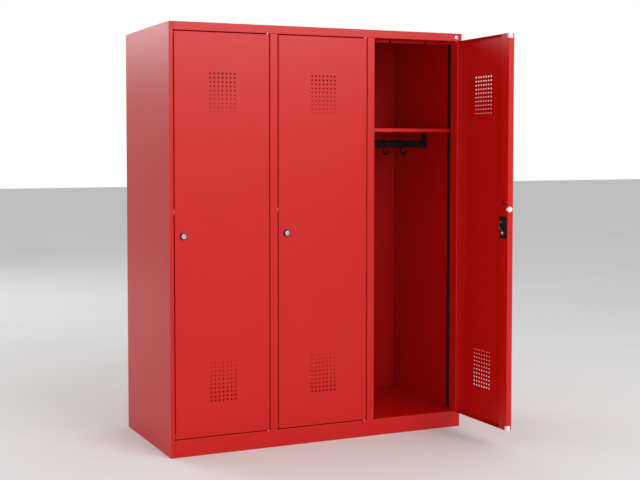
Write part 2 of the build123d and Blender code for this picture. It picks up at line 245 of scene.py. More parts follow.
FINISHES = {
    Slot.RED: PowderCoat(),
    Slot.BLACK: MouldedPlastic((0.006, 0.006, 0.007), (0.012, 0.012, 0.013), (0.42, 0.56), 0.25),
    Slot.WHITE: MouldedPlastic((0.66, 0.655, 0.63), (0.74, 0.735, 0.71), (0.32, 0.44)),
    Slot.ZINC: ZincPlate(),
}


# ---------------------------------------------------------------- mesh tools


def upright(a: float, b: float, along: float) -> Vector:
    """Place a plan outline that runs up Z."""
    return Vector((a, b, along))


def lengthwise(a: float, b: float, along: float) -> Vector:
    """Place a Y-Z outline that runs along X."""
    return Vector((along, a, b))


def facing(x: float, y: float, z: float) -> Matrix:
    """Frame on a front face: X right, Y up and Z out of the front.

    Args:
        x: Place along the front.
        y: Place into the depth.
        z: Height.

    Returns:
        The frame as a matrix.
    """
    frame_matrix = Matrix(((1, 0, 0), (0, 0, -1), (0, 1, 0))).to_4x4()
    frame_matrix.translation = (x, y, z)
    return frame_matrix


def turn_between(first: Vector, second: Vector) -> float:
    """Signed angle from one direction in the plane to another."""
    return math.atan2(first.x * second.y - first.y * second.x, first.dot(second))


def rounded(points: Sequence[Pair], radius: float, steps: int = BEND_STEPS) -> list[Vector]:
    """Round the corners of an open path, keeping points that lie in line.

    Args:
        points: Corners of the path.
        radius: Bend radius of the path.
        steps: Straight pieces in each bend.

    Returns:
        Points of the rounded path.
    """
    corners = [Vector(p) for p in points]
    path = [corners[0]]
    for before, corner, after in zip(corners, corners[1:], corners[2:]):
        incoming = (corner - before).normalized()
        outgoing = (after - corner).normalized()
        turn = turn_between(incoming, outgoing)
        if abs(turn) < 1e-4:
            path.append(corner)
            continue
        start = corner - incoming * radius * math.tan(abs(turn) / 2)
        side = math.copysign(radius, turn)
        centre = start + Vector((-incoming.y, incoming.x)) * side
        for step in range(steps + 1):
            path.append(centre + Matrix.Rotation(turn * step / steps, 2) @ (start - centre))
    path.append(corners[-1])
    return path


def shifted(path: Sequence[Vector], distance: float) -> list[Vector]:
    """Offset an open path to its left, with mitred corners."""
    moved = []
    last = len(path) - 1
    for index, point in enumerate(path):
        ahead = (path[index + 1] - point).normalized() if index < last else None
        behind = (point - path[index - 1]).normalized() if index else ahead
        ahead = ahead or behind
        bisector = Vector((-(behind.y + ahead.y), behind.x + ahead.x)).normalized()
        mitre = bisector.dot(Vector((-behind.y, behind.x)))
        moved.append(point + bisector * (distance / mitre))
    return moved


def arc(centre: Pair, radius: float, start: float, end: float, steps: int) -> list[Vector]:
    """Points of an arc in the plane, angles in degrees."""
    middle = Vector(centre)
    turns = [math.radians(start + (end - start) * i / steps) for i in range(steps + 1)]
    return [middle + radius * Vector((math.cos(t), math.sin(t))) for t in turns]


def slot_outline(centre: Pair, width: float, height: float, steps: int = 10) -> list[Vector]:
    """Flat-sided oval, taller than wide, counter-clockwise from its lower left."""
    radius = width / 2
    reach = height / 2 - radius
    x, y = centre
    return arc((x, y - reach), radius, 180, 360, steps) + arc((x, y + reach), radius, 0, 180, steps)


def shell(
    bm: bmesh.types.BMesh,
    outer: list[list[Vector]],
    inner: list[list[Vector]],
    kept: Test,
    joined: Test = lambda middle: False,
) -> None:
    """Add a sheet given as two grids of points, with walls round every opening.

    Args:
        bm: Mesh to add to.
        outer: Points of the outer skin, by column and row.
        inner: Points of the inner skin.
        kept: Says from a cell's middle whether the sheet is there.
        joined: Says from a cell's middle whether other faces carry on there.
    """
    columns, rows = len(outer) - 1, len(outer[0]) - 1
    layers = [[[bm.verts.new(p) for p in line] for line in layer] for layer in (outer, inner)]

    def state(column: int, row: int) -> tuple[bool, bool]:
        """Whether a cell is there, and whether it needs no wall."""
        if not (0 <= column < columns and 0 <= row < rows):
            return False, False
        middle = sum(
            (outer[column + a][row + b] for a in (0, 1) for b in (0, 1)), Vector((0, 0, 0))
        ) / 4
        return kept(middle), joined(middle)

    for column in range(columns):
        for row in range(rows):
            if not state(column, row)[0]:
                continue
            ring = ((column, row), (column + 1, row), (column + 1, row + 1), (column, row + 1))
            bm.faces.new([layers[0][i][j] for i, j in ring])
            bm.faces.new([layers[1][i][j] for i, j in reversed(ring)])
            beyond = ((column, row - 1), (column + 1, row), (column, row + 1), (column - 1, row))
            for side, neighbour in enumerate(beyond):
                if not any(state(*neighbour)):
                    (i, j), (k, l) = ring[side], ring[(side + 1) % 4]
                    near, far = layers
                    bm.faces.new([near[k][l], near[i][j], far[i][j], far[k][l]])
    bmesh.ops.delete(bm, geom=[v for v in bm.verts if not v.link_faces], context="VERTS")


def fold(
    bm: bmesh.types.BMesh,
    points: Sequence[Pair],
    breaks: Sequence[float],
    place: Placer,
    kept: Test = lambda middle: True,
    radius: float = BEND,
) -> None:
    """Add a sheet bent along a path.

    Args:
        bm: Mesh to add to.
        points: Corners of the sheet's middle line.
        breaks: Places along the fold where rows start and end.
        place: Turns path coordinates and the place along the fold into a point.
        kept: Says from a cell's middle whether the sheet is there.
        radius: Bend radius of the middle line.
    """
    path = rounded(points, radius)
    grids = [
        [[place(p.x, p.y, along) for along in sorted(breaks)] for p in shifted(path, side)]
        for side in (HALF, -HALF)
    ]
    shell(bm, *grids, kept)


def absorb(bm: bmesh.types.BMesh, extra: bmesh.types.BMesh) -> None:
    """Add another shape to this one and free it."""
    mesh = bpy.data.meshes.new("extra")
    extra.to_mesh(mesh)
    extra.free()
    bm.from_mesh(mesh)
    bpy.data.meshes.remove(mesh)


def prism(
    bm: bmesh.types.BMesh, outline: Sequence[Vector], low: float, high: float, place: Placer
) -> None:
    """Add a solid of one closed outline between two levels."""
    ends = [[bm.verts.new(place(p.x, p.y, level)) for p in outline] for level in (low, high)]
    bm.faces.new(list(reversed(ends[0])))
    bm.faces.new(ends[1])
    count = len(outline)
    for i in range(count):
        j = (i + 1) % count
        bm.faces.new([ends[0][i], ends[0][j], ends[1][j], ends[1][i]])


def tube(
    bm: bmesh.types.BMesh,
    outer: Sequence[Vector],
    inner: Sequence[Vector],
    low: float,
    high: float,
    place: Placer,
) -> None:
    """Add a ring between two closed outlines with the same number of points."""
    rings = [
        [bm.verts.new(place(p.x, p.y, level)) for p in outline]
        for outline, level in ((outer, low), (outer, high), (inner, high), (inner, low))
    ]
    count = len(outer)
    for lower, upper in zip(rings, rings[1:] + rings[:1]):
        for i in range(count):
            j = (i + 1) % count
            bm.faces.new([lower[i], lower[j], upper[j], upper[i]])


def soften(bm: bmesh.types.BMesh, size: float, segments: int = 2, angle: float = SHARP) -> None:
    """Bevel every edge sharper than an angle."""
    bmesh.ops.remove_doubles(bm, verts=bm.verts, dist=TINY)
    bmesh.ops.recalc_face_normals(bm, faces=bm.faces)
    edges = [e for e in bm.edges if e.is_manifold and e.calc_face_angle() > angle]
    bmesh.ops.bevel(
        bm,
        geom=edges,
        offset=size,
        segments=segments,
        profile=0.5,
        affect="EDGES",
        clamp_overlap=True,
    )


def turned(
    bm: bmesh.types.BMesh,
    profile: Sequence[Pair],
    recess: Callable[[float], float] | None = None,
    depth: float = 0.0,
    steps: int = 40,
    closed: bool = False,
) -> None:
    """Add a body turned about Z, with an optional recess in its front.

    Args:
        bm: Mesh to add to.
        profile: Radius and height of each ring, from the back to the front.
        recess: Radius of the recess at each angle.
        depth: Depth of the recess.
        steps: Points round each ring.
        closed: Whether the profile is a loop, as on a ring.
    """
    angles = [math.tau * i / steps for i in range(steps)]

    def ring(radius: Callable[[float], float], height: float) -> list[bmesh.types.BMVert]:
        """One ring of points."""
        return [
            bm.verts.new((radius(a) * math.cos(a), radius(a) * math.sin(a), height)) for a in angles
        ]

    rings = [ring(lambda a, r=r: max(r, TINY * 4), h) for r, h in profile]
    if recess is not None:
        front = profile[-1][1]
        rings += [ring(recess, front), ring(lambda a: recess(a) * 0.96, front - depth)]
    pairs = list(zip(rings, rings[1:]))
    if closed:
        pairs.append((rings[-1], rings[0]))
    for lower, upper in pairs:
        for i in range(steps):
            j = (i + 1) % steps
            bm.faces.new([lower[i], lower[j], upper[j], upper[i]])
    if not closed:
        bm.faces.new(list(reversed(rings[0])))
        bm.faces.new(rings[-1])


def fill_flat(
    bm: bmesh.types.BMesh,
    x_lines: Sequence[float],
    z_lines: Sequence[float],
    depth: float,
    skipped: Callable[[float, float], bool],
) -> None:
    """Close a flat skin with one face for each cell, taking in every vertex on its sides.

    Args:
        bm: Mesh to add to.
        x_lines: Cell borders along X.
        z_lines: Cell borders along Z.
        depth: The skin's Y.
        skipped: Says from a cell's middle whether punched sheet is there already.
    """
    skin = [v for v in bm.verts if abs(v.co.y - depth) < TINY]

    def side(axis: int, level: float, low: float, high: float) -> list[bmesh.types.BMVert]:
        """Vertices on one side of a cell, first corner included and last left out."""
        other = 2 - axis
        start, end = min(low, high), max(low, high)
        found = [
            v
            for v in skin
            if abs(v.co[axis] - level) < TINY
            and start - TINY < v.co[other] < end + TINY
            and abs(v.co[other] - high) > TINY
        ]
        return sorted(found, key=lambda v: abs(v.co[other] - low))

    for x0, x1 in zip(x_lines, x_lines[1:]):
        for z0, z1 in zip(z_lines, z_lines[1:]):
            if skipped((x0 + x1) / 2, (z0 + z1) / 2):
                continue
            ring = side(2, z0, x0, x1) + side(0, x1, z0, z1)
            ring += side(2, z1, x1, x0) + side(0, x0, z1, z0)
            bm.faces.new(ring)


# ---------------------------------------------------------------- geometry node trees


class Tree:
    """A Geometry Nodes tree under construction, with named inputs."""

    def __init__(self, name: str, sockets: dict[str, str]) -> None:
        """Start a tree.

        Args:
            name: Name of the tree.
            sockets: Socket type of each named input.
        """
        self.group = bpy.data.node_groups.new(name, "GeometryNodeTree")
        self.group.is_modifier = True
        add = self.group.interface.new_socket
        add(name="Geometry", in_out="INPUT", socket_type="NodeSocketGeometry")
        for label, kind in sockets.items():
            add(name=label, in_out="INPUT", socket_type=kind)
        add(name="Geometry", in_out="OUTPUT", socket_type="NodeSocketGeometry")
        self.given = self.group.nodes.new("NodeGroupInput").outputs
        self.result = self.group.nodes.new("NodeGroupOutput").inputs

    def node(self, kind: str, inputs: dict, **settings: object) -> bpy.types.NodeOutputs:
        """Add a node.

        Args:
            kind: Node type.
            inputs: Value or source socket of each input, by name or index.
            **settings: Properties of the node.

        Returns:
            The node's output sockets.
        """
        made = self.group.nodes.new(kind)
        for label, value in settings.items():
            setattr(made, label, value)
        for label, value in inputs.items():
            if isinstance(value, bpy.types.NodeSocket):
                self.group.links.new(value, made.inputs[label])
            else:
                made.inputs[label].default_value = value
        return made.outputs

    def math(self, operation: str, first: Number, second: Number = 0.0) -> Socket:
        """Add a scalar calculation and return its result socket."""
        return self.node("ShaderNodeMath", {0: first, 1: second}, operation=operation)[0]

    def vector(self, x: Number = 0.0, y: Number = 0.0, z: Number = 0.0) -> Socket:
        """Combine three values and return the vector socket."""
        return self.node("ShaderNodeCombineXYZ", {"X": x, "Y": y, "Z": z})[0]

    def finish(self, geometry: Socket) -> bpy.types.NodeTree:
        """End the tree in real geometry with its material."""
        real = self.node("GeometryNodeRealizeInstances", {"Geometry": geometry})[0]
        welded = self.node("GeometryNodeMergeByDistance", {"Geometry": real, "Distance": TINY})[0]
        dressed = self.node(
            "GeometryNodeSetMaterial", {"Geometry": welded, "Material": self.given["Material"]}
        )[0]
        self.group.links.new(dressed, self.result["Geometry"])
        return self.group


def punched_cell_tree() -> bpy.types.NodeTree:
    """One cell of punched sheet: a round hole with a rolled rim in a rectangular tile."""
    tree = Tree(
        "punched_cell",
        {
            "Facets": "NodeSocketInt",
            "Hole Radius": "NodeSocketFloat",
            "Rim": "NodeSocketFloat",
            "Thickness": "NodeSocketFloat",
            "Cell Width": "NodeSocketFloat",
            "Cell Height": "NodeSocketFloat",
            "Material": "NodeSocketMaterial",
        },
    )
    given = tree.given
    whole = tree.node("GeometryNodeInputPosition", {})[0]
    position = tree.node("ShaderNodeSeparateXYZ", {0: whole})
    reach = tree.math(
        "MAXIMUM", tree.math("ABSOLUTE", position["X"]), tree.math("ABSOLUTE", position["Y"])
    )

    def border(level: Number) -> Socket:
        """Where a point of a ring lands on the cell's border."""
        ends = []
        for axis, size in (("X", given["Cell Width"]), ("Y", given["Cell Height"])):
            far = tree.math("DIVIDE", tree.math("MULTIPLY", position[axis], size), reach)
            ends.append(tree.math("MULTIPLY", far, 0.5))
        return tree.vector(*ends, level)

    def extruded(mesh: Socket, chosen: Socket | None, rise: Number) -> tuple[Socket, Socket]:
        """Pull edges up by a height and return the new mesh and its top edges."""
        links = {"Mesh": mesh, "Offset": tree.vector(z=rise), "Offset Scale": 1.0}
        if chosen is not None:
            links["Selection"] = chosen
        out = tree.node("GeometryNodeExtrudeMesh", links, mode="EDGES")
        return out["Mesh"], out["Top"]

    def moved(mesh: Socket, chosen: Socket, target: Socket) -> Socket:
        """Send the chosen points to a place."""
        links = {"Geometry": mesh, "Selection": chosen, "Position": target}
        return tree.node("GeometryNodeSetPosition", links)[0]

    back = tree.math("MULTIPLY", given["Thickness"], -1.0)
    circle = tree.node(
        "GeometryNodeMeshCircle",
        {"Vertices": given["Facets"], "Radius": given["Hole Radius"]},
        fill_type="NONE",
    )[0]
    lowered = {"Geometry": circle, "Translation": tree.vector(z=back)}
    circle = tree.node("GeometryNodeTransform", lowered)[0]
    wall, top = extruded(circle, None, tree.math("SUBTRACT", given["Thickness"], given["Rim"]))
    rim, top = extruded(wall, top, given["Rim"])
    growth = tree.math("ADD", 1.0, tree.math("DIVIDE", given["Rim"], given["Hole Radius"]))
    flared = tree.vector(*[tree.math("MULTIPLY", position[axis], growth) for axis in "XY"])
    rim = moved(rim, top, flared)
    front, top = extruded(rim, top, 0.0)
    front = moved(front, top, border(0.0))
    rear, top = extruded(circle, None, 0.0)
    rear = moved(rear, top, border(back))
    both = tree.node("GeometryNodeJoinGeometry", {})
    tree.group.links.new(front, both[0].node.inputs[0])
    tree.group.links.new(rear, both[0].node.inputs[0])
    return tree.finish(both[0])


def punched_field_tree(cell: bpy.types.NodeTree) -> bpy.types.NodeTree:
    """A field of punched cells in columns and rows.

    Args:
        cell: The tree of one cell.

    Returns:
        The tree of the whole field.
    """
    entries = [item for item in cell.interface.items_tree if item.in_out == "INPUT"]
    kinds = {item.name: item.socket_type for item in entries}
    kinds.pop("Geometry")
    tree = Tree("punched_field", {"Columns": "NodeSocketInt", "Rows": "NodeSocketInt", **kinds})
    given = tree.given
    tile = tree.group.nodes.new("GeometryNodeGroup")
    tile.node_tree = cell
    for label in kinds:
        tree.group.links.new(given[label], tile.inputs[label])

    def span(count: Number, pitch: Number) -> Socket:
        """Distance between the first and the last cell."""
        return tree.math("MULTIPLY", tree.math("SUBTRACT", count, 1.0), pitch)

    grid = tree.node(
        "GeometryNodeMeshGrid",
        {
            "Size X": span(given["Columns"], given["Cell Width"]),
            "Size Y": span(given["Rows"], given["Cell Height"]),
            "Vertices X": given["Columns"],
            "Vertices Y": given["Rows"],
        },
    )[0]
    links = {"Points": grid, "Instance": tile.outputs[0]}
    placed = tree.node("GeometryNodeInstanceOnPoints", links)[0]
    return tree.finish(placed)


def swept_bar_tree() -> bpy.types.NodeTree:
    """A bar of rounded rectangular section that follows a curve with rounded corners."""
    tree = Tree(
        "swept_bar",
        {
            "Bend Radius": "NodeSocketFloat",
            "Width": "NodeSocketFloat",
            "Thickness": "NodeSocketFloat",
            "Edge Radius": "NodeSocketFloat",
            "Material": "NodeSocketMaterial",
        },
    )
    given = tree.given

    def filleted(curve: Socket, radius: Number, count: int) -> Socket:
        """Round a curve's corners."""
        links = {"Curve": curve, "Radius": radius, "Count": count, "Limit Radius": True}
        return tree.node("GeometryNodeFilletCurve", links, mode="POLY")[0]

    section = tree.node(
        "GeometryNodeCurvePrimitiveQuadrilateral",
        {"Width": given["Width"], "Height": given["Thickness"]},
        mode="RECTANGLE",
    )[0]
    rail = filleted(given["Geometry"], given["Bend Radius"], 7)
    profile = filleted(section, given["Edge Radius"], 4)
    links = {"Curve": rail, "Profile Curve": profile, "Fill Caps": True}
    bar = tree.node("GeometryNodeCurveToMesh", links)[0]
    return tree.finish(bar)


def weld_mark_tree() -> bpy.types.NodeTree:
    """A line of spot-weld marks: shallow round pads with a softened rim."""
    tree = Tree(
        "weld_marks",
        {
            "Marks": "NodeSocketInt",
            "Start": "NodeSocketVector",
            "Step": "NodeSocketVector",
            "Radius": "NodeSocketFloat",
            "Rise": "NodeSocketFloat",
            "Material": "NodeSocketMaterial",
        },
    )
    given = tree.given
    pad = tree.node(
        "GeometryNodeMeshCone",
        {
            "Vertices": 20,
            "Side Segments": 1,
            "Fill Segments": 1,
            "Radius Top": tree.math("MULTIPLY", given["Radius"], 0.72),
            "Radius Bottom": given["Radius"],
            "Depth": given["Rise"],
        },
        fill_type="NGON",
    )[0]
    line = tree.node(
        "GeometryNodeMeshLine",
        {"Count": given["Marks"], "Start Location": given["Start"], "Offset": given["Step"]},
    )[0]
    placed = tree.node(
        "GeometryNodeInstanceOnPoints",
        {"Points": line, "Instance": pad, "Rotation": (-math.pi / 2, 0.0, 0.0)},
    )[0]
    return tree.finish(placed)


# ---------------------------------------------------------------- workshop


class Workshop:
    """Holds the finishes and node trees, and turns meshes into pieces of the locker."""

    def __init__(self) -> None:
        """Mix the finishes and lay out the node trees."""
        self.materials = {slot: coat.material(slot.value) for slot, coat in FINISHES.items()}
        self.cell = punched_cell_tree()
        self.field = punched_field_tree(self.cell)
        self.bar = swept_bar_tree()
        self.welds = weld_mark_tree()
        self.count = 0

    def grow(
        self, tree: bpy.types.NodeTree, values: dict, base: bpy.types.ID | None = None
    ) -> bpy.types.Mesh:
        """Run a node tree once and keep its result as a plain mesh.

        Args:
            tree: Geometry Nodes tree.
            values: Value of each named input.
            base: Mesh or curve that the tree starts from.

        Returns:
            The finished mesh.
        """
        carrier = bpy.data.objects.new("carrier", base or bpy.data.meshes.new("carrier"))
        bpy.context.scene.collection.objects.link(carrier)
        modifier = carrier.modifiers.new("grow", "NODES")
        modifier.node_group = tree
        for item in tree.interface.items_tree:
            if item.in_out == "INPUT" and item.name in values:
                modifier[item.identifier] = values[item.name]
        depsgraph = bpy.context.evaluated_depsgraph_get()
        result = carrier.evaluated_get(depsgraph)
        mesh = bpy.data.meshes.new_from_object(result, depsgraph=depsgraph)
        carrier.modifiers.remove(modifier)
        bpy.data.objects.remove(carrier)
        return mesh

    def piece(
        self,
        name: str,
        bm: bmesh.types.BMesh,
        slot: Slot,
        body: str,
        nodes: Sequence[str],
        place: Matrix | None = None,
    ) -> bpy.types.Object:
        """Finish a mesh as one piece of the locker.

        Args:
            name: Name of the piece.
            bm: Its mesh, which is freed here.
            slot: Its finish.
            body: The body that it moves with.
            nodes: CAD nodes that it stands for.
            place: Where the mesh goes, if it isn't in place yet.

        Returns:
            The new object.
        """
        bmesh.ops.remove_doubles(bm, verts=bm.verts, dist=TINY)
        bmesh.ops.recalc_face_normals(bm, faces=bm.faces)
        mesh = bpy.data.meshes.new(name)
        if place is not None:
            bm.transform(place)
        bm.to_mesh(mesh)
        bm.free()
        mesh.polygons.foreach_set("use_smooth", [True] * len(mesh.polygons))
        mesh.set_sharp_from_angle(angle=SHARP)
        mesh.materials.clear()
        mesh.materials.append(self.materials[slot])
        made = bpy.data.objects.new(name, mesh)
        bpy.context.scene.collection.objects.link(made)
        made.modifiers.new("flat_faces_first", "WEIGHTED_NORMAL").keep_sharp = True
        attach(made, body)
        if nodes:
            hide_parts(*nodes)
        self.count += 1
        log.info("%s: %d faces, moves with %s", name, len(mesh.polygons), body)
        return made

    def dress(self, node: str, slot: Slot) -> None:
        """Give a CAD node that keeps its shape its finish."""
        mesh = frame["nodes"][node].data
        mesh.materials.clear()
        mesh.materials.append(self.materials[slot])
        log.info("%s: kept from the frame", node)


# ---------------------------------------------------------------- layout


@dataclass(frozen=True)
class Layout:
    """Main places of the locker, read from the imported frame."""

    left: float
    right: float
    front: float
    back: float
    top: float
    rail: float
    plinth: float
    post: float
    post_back: float
    pitch: float
    rear: float

    @classmethod
    def read(cls) -> "Layout":
        """Measure the frame's own nodes.

        Returns:
            The layout.
        """
        left_low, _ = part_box("left_side_panel")
        _, right_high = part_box("right_side_panel")
        top_low, top_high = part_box("top_panel")
        mullion_low, mullion_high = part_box("mullion_1")
        second_low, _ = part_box("mullion_2")
        _, floor_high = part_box("floor_1")
        return cls(
            left=left_low.x,
            right=right_high.x,
            front=top_low.y,
            back=top_high.y,
            top=top_high.z,
            rail=mullion_high.z,
            plinth=mullion_low.z,
            post=(mullion_high.x - mullion_low.x) / 2,
            post_back=mullion_high.y,
            pitch=second_low.x - mullion_low.x,
            rear=floor_high.y,
        )

    def bay(self, number: int) -> float:
        """Middle of a bay, counted from 1 at the left."""
        return (self.left + self.right) / 2 + (number - 2) * self.pitch

    @property
    def opening(self) -> float:
        """Clear width between two posts."""
        return self.pitch - 2 * self.post


BAYS = (1, 2, 3)


def node_names(pattern: str) -> list[str]:
    """Names of the frame's nodes that start with a pattern."""
    return [name for name in frame["nodes"] if name.startswith(pattern)]


# ---------------------------------------------------------------- cabinet


@dataclass
class Cabinet:
    """The fixed sheets: sides, mullions, back, top with its front rail, and base."""

    shop: Workshop
    plan: Layout
    slot_y: Pair = (-0.2297, -0.2192)
    slot_z: Pair = (0.769, 0.817)
    lip: float = 8 * MM
    notch_x: float = 78 * MM
    notch_w: float = 9 * MM
    relief: Pair = (18 * MM, 38 * MM)
    wall_hole: tuple[float, float, float] = (0.4, 1.4, 4 * MM)
    weld_step: float = 94 * MM

    def strike(self, x: float) -> Test:
        """Test that leaves out the slot for the lock's cam in a post's side at x."""

        def kept(middle: Vector) -> bool:
            """Whether a cell is sheet."""
            beside = abs(middle.x - x) < 1.5 * SHEET
            deep = self.slot_y[0] < middle.y < self.slot_y[1]
            level = self.slot_z[0] < middle.z < self.slot_z[1]
            return not (beside and deep and level)

        return kept

    def side_panels(self) -> None:
        """One sheet each side, folded round the front into a hollow post."""
        plan = self.plan
        for side, name in ((-1, "left"), (1, "right")):
            edge = plan.left if side < 0 else plan.right
            outer, inner = edge - side * HALF, edge - side * (plan.post - HALF)
            front, back, rear = plan.front + HALF, plan.back - HALF, plan.post_back - HALF
            points = [
                (edge - side * plan.post, back),
                (outer, back),
                (outer, front),
                (inner, front),
                (inner, self.slot_y[0]),
                (inner, self.slot_y[1]),
                (inner, rear),
                (outer - side * 3 * MM, rear),
            ]
            bm = bmesh.new()
            kept = self.strike(inner) if side < 0 else lambda middle: True
            fold(bm, points, (0.0, *self.slot_z, plan.top - SHEET), upright, kept)
            self.shop.piece(
                f"{name}_side_folded", bm, Slot.RED, "cabinet", [f"{name}_side_panel"]
            )

    def mullions(self) -> None:
        """Hollow posts between the bays, with their partitions behind."""
        plan = self.plan
        reach = plan.post - HALF
        front, rear = plan.front + HALF, plan.post_back - HALF
        for number in BAYS[:-1]:
            middle = plan.bay(number) + plan.pitch / 2
            points = [
                (middle - HALF, rear),
                (middle - reach, rear),
                (middle - reach, front),
                (middle + reach, front),
                (middle + reach, self.slot_y[0]),
                (middle + reach, self.slot_y[1]),
                (middle + reach, rear),
                (middle + HALF, rear),
            ]
            bm = bmesh.new()
            levels = (plan.plinth, *self.slot_z, plan.rail)
            fold(bm, points, levels, upright, self.strike(middle + reach))
            node = f"mullion_{number}"
            self.shop.piece(f"{node}_folded", bm, Slot.RED, "cabinet", [node])
            self.shop.dress(f"partition_{number}", Slot.RED)

    def top(self) -> None:
        """Top sheet with the front rail folded down, under, and down as a notched stop lip."""
        plan = self.plan
        front, rear = plan.front + HALF, plan.post_back - HALF
        level, under = plan.top - HALF, plan.rail + HALF
        points = [
            (plan.back, level),
            (front, level),
            (front, under),
            (rear, under),
            (rear, plan.rail - self.lip),
        ]
        inset = plan.post
        lines = {plan.left, plan.left + inset, plan.right - inset, plan.right}
        half = plan.opening / 2
        for bay in BAYS:
            x = plan.bay(bay)
            lines |= {x - half, x + half}
            for notch in (x - self.notch_x, x + self.notch_x):
                lines |= {notch - self.notch_w / 2, notch + self.notch_w / 2}

        def kept(middle: Vector) -> bool:
            """Whether a cell is sheet."""
            if middle.z > plan.top - BEND - SHEET:
                return True
            if not plan.left + inset < middle.x < plan.right - inset:
                return False
            if middle.z > plan.rail - TINY:
                return True
            offsets = [middle.x - plan.bay(bay) for bay in BAYS]
            notched = any(abs(abs(o) - self.notch_x) < self.notch_w / 2 for o in offsets)
            return any(abs(o) < half for o in offsets) and not notched

        bm = bmesh.new()
        fold(bm, points, merged(lines), lengthwise, kept)
        self.shop.piece("top_sheet_and_rail", bm, Slot.RED, "cabinet", ["top_panel"])

    def base(self) -> None:
        """Bottom sheet, plinth front and the ledge under the doors."""
        plan = self.plan
        inset = plan.post
        width, depth = self.relief
        points = [
            (plan.rear, HALF),
            (plan.post_back, HALF),
            (plan.front + HALF, HALF),
            (plan.front + HALF, plan.plinth - HALF),
            (plan.front + depth, plan.plinth - HALF),
            (plan.post_back, plan.plinth - HALF),
        ]
        corners = [plan.bay(bay) - plan.opening / 2 for bay in BAYS]
        lines = {plan.left + SHEET, plan.left + inset, plan.right - inset, plan.right - SHEET}
        for corner in corners:
            lines |= {corner + 1 * MM, corner + width}

        def kept(middle: Vector) -> bool:
            """Whether a cell is sheet."""
            if middle.y > plan.post_back:
                return True
            if not plan.left + inset < middle.x < plan.right - inset:
                return False
            ledge = middle.z > plan.plinth - 2 * SHEET and middle.y > plan.front + BEND + HALF
            relieved = any(c + 1 * MM < middle.x < c + width for c in corners)
            return not (ledge and relieved and middle.y < plan.front + depth)

        bm = bmesh.new()
        fold(bm, points, merged(lines), lengthwise, kept)
        self.shop.piece("base_and_plinth", bm, Slot.RED, "cabinet", ["base_tray"])

    def back(self) -> None:
        """Back sheet with its two wall-fixing holes."""
        low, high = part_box("back_panel")
        hole_x, hole_z, radius = self.wall_hole
        cell = 4 * radius
        half = cell / 2
        bm = bmesh.new()
        values = {
            "Facets": 32,
            "Hole Radius": radius,
            "Rim": 0.2 * MM,
            "Thickness": high.y - low.y,
            "Cell Width": cell,
            "Cell Height": cell,
        }
        for x in (-hole_x, hole_x):
            tile = self.shop.grow(self.shop.cell, values)
            tile.transform(facing(x, low.y, hole_z))
            bm.from_mesh(tile)
        x_lines = [low.x, -hole_x - half, -hole_x + half, hole_x - half, hole_x + half, high.x]
        z_lines = [low.z, hole_z - half, hole_z + half, high.z]
        punched_plate(
            bm,
            x_lines,
            z_lines,
            (low.y, high.y),
            lambda x, z: abs(abs(x) - hole_x) < half and abs(z - hole_z) < half,
        )
        rim = [edge for edge in bm.edges if edge.is_boundary]
        bmesh.ops.bridge_loops(bm, edges=rim)
        self.shop.piece("back_sheet", bm, Slot.RED, "cabinet", ["back_panel"])

    def welds(self) -> None:
        """Spot-weld marks down the two rear flanges."""
        plan = self.plan
        start = 60 * MM
        marks = int((plan.top - 2 * start) / self.weld_step) + 1
        bm = bmesh.new()
        for x in (plan.left + plan.post / 2, plan.right - plan.post / 2):
            values = {
                "Marks": marks,
                "Start": (x, plan.back - 0.1 * MM, start),
                "Step": (0.0, 0.0, self.weld_step),
                "Radius": 3 * MM,
                "Rise": 0.25 * MM,
            }
            bm.from_mesh(self.shop.grow(self.shop.welds, values))
        self.shop.piece("rear_weld_marks", bm, Slot.RED, "cabinet", [])

    def rivet(self) -> None:
        """Bright rivet with a hexagonal recess at the right end of the top rail."""
        low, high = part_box("top_rail_rivet")
        middle = (low + high) / 2
        radius, rise = (high.x - low.x) / 2, high.y - low.y
        profile = [
            (0.0, 0.0),
            (radius, 0.0),
            (radius, 0.3 * rise),
            (0.93 * radius, 0.62 * rise),
            (0.78 * radius, 0.86 * rise),
            (0.6 * radius, rise),
        ]
        bm = bmesh.new()
        turned(bm, profile, polygon_radius(6, 0.36 * radius), 0.75 * rise, steps=36)
        self.shop.piece(
            "rail_rivet",
            bm,
            Slot.ZINC,
            "cabinet",
            ["top_rail_rivet"],
            facing(middle.x, high.y, middle.z),
        )

    def build(self) -> None:
        """Make every fixed sheet."""
        self.side_panels()
        self.mullions()
        self.top()
        self.base()
        self.back()
        self.welds()
        self.rivet()


def merged(values: set[float]) -> list[float]:
    """Sorted values without near doubles."""
    ordered = sorted(values)
    return [v for i, v in enumerate(ordered) if i == 0 or v - ordered[i - 1] > TINY]


def polygon_radius(sides: int, radius: float) -> Callable[[float], float]:
    """Radius of a regular polygon at each angle, from its inscribed circle's radius."""
    share = math.tau / sides

    def at(angle: float) -> float:
        """Radius at one angle."""
        return radius / math.cos((angle + share / 2) % share - share / 2)

    return at


def keyway_radius(half_width: float, half_height: float, bore: float) -> Callable[[float], float]:
    """Radius of a keyway: an upright slot with a wider round middle."""

    def at(angle: float) -> float:
        """Radius at one angle."""
        across = half_width / max(abs(math.cos(angle)), 1e-6)
        up = half_height / max(abs(math.sin(angle)), 1e-6)
        return max(bore, min(across, up))

    return at


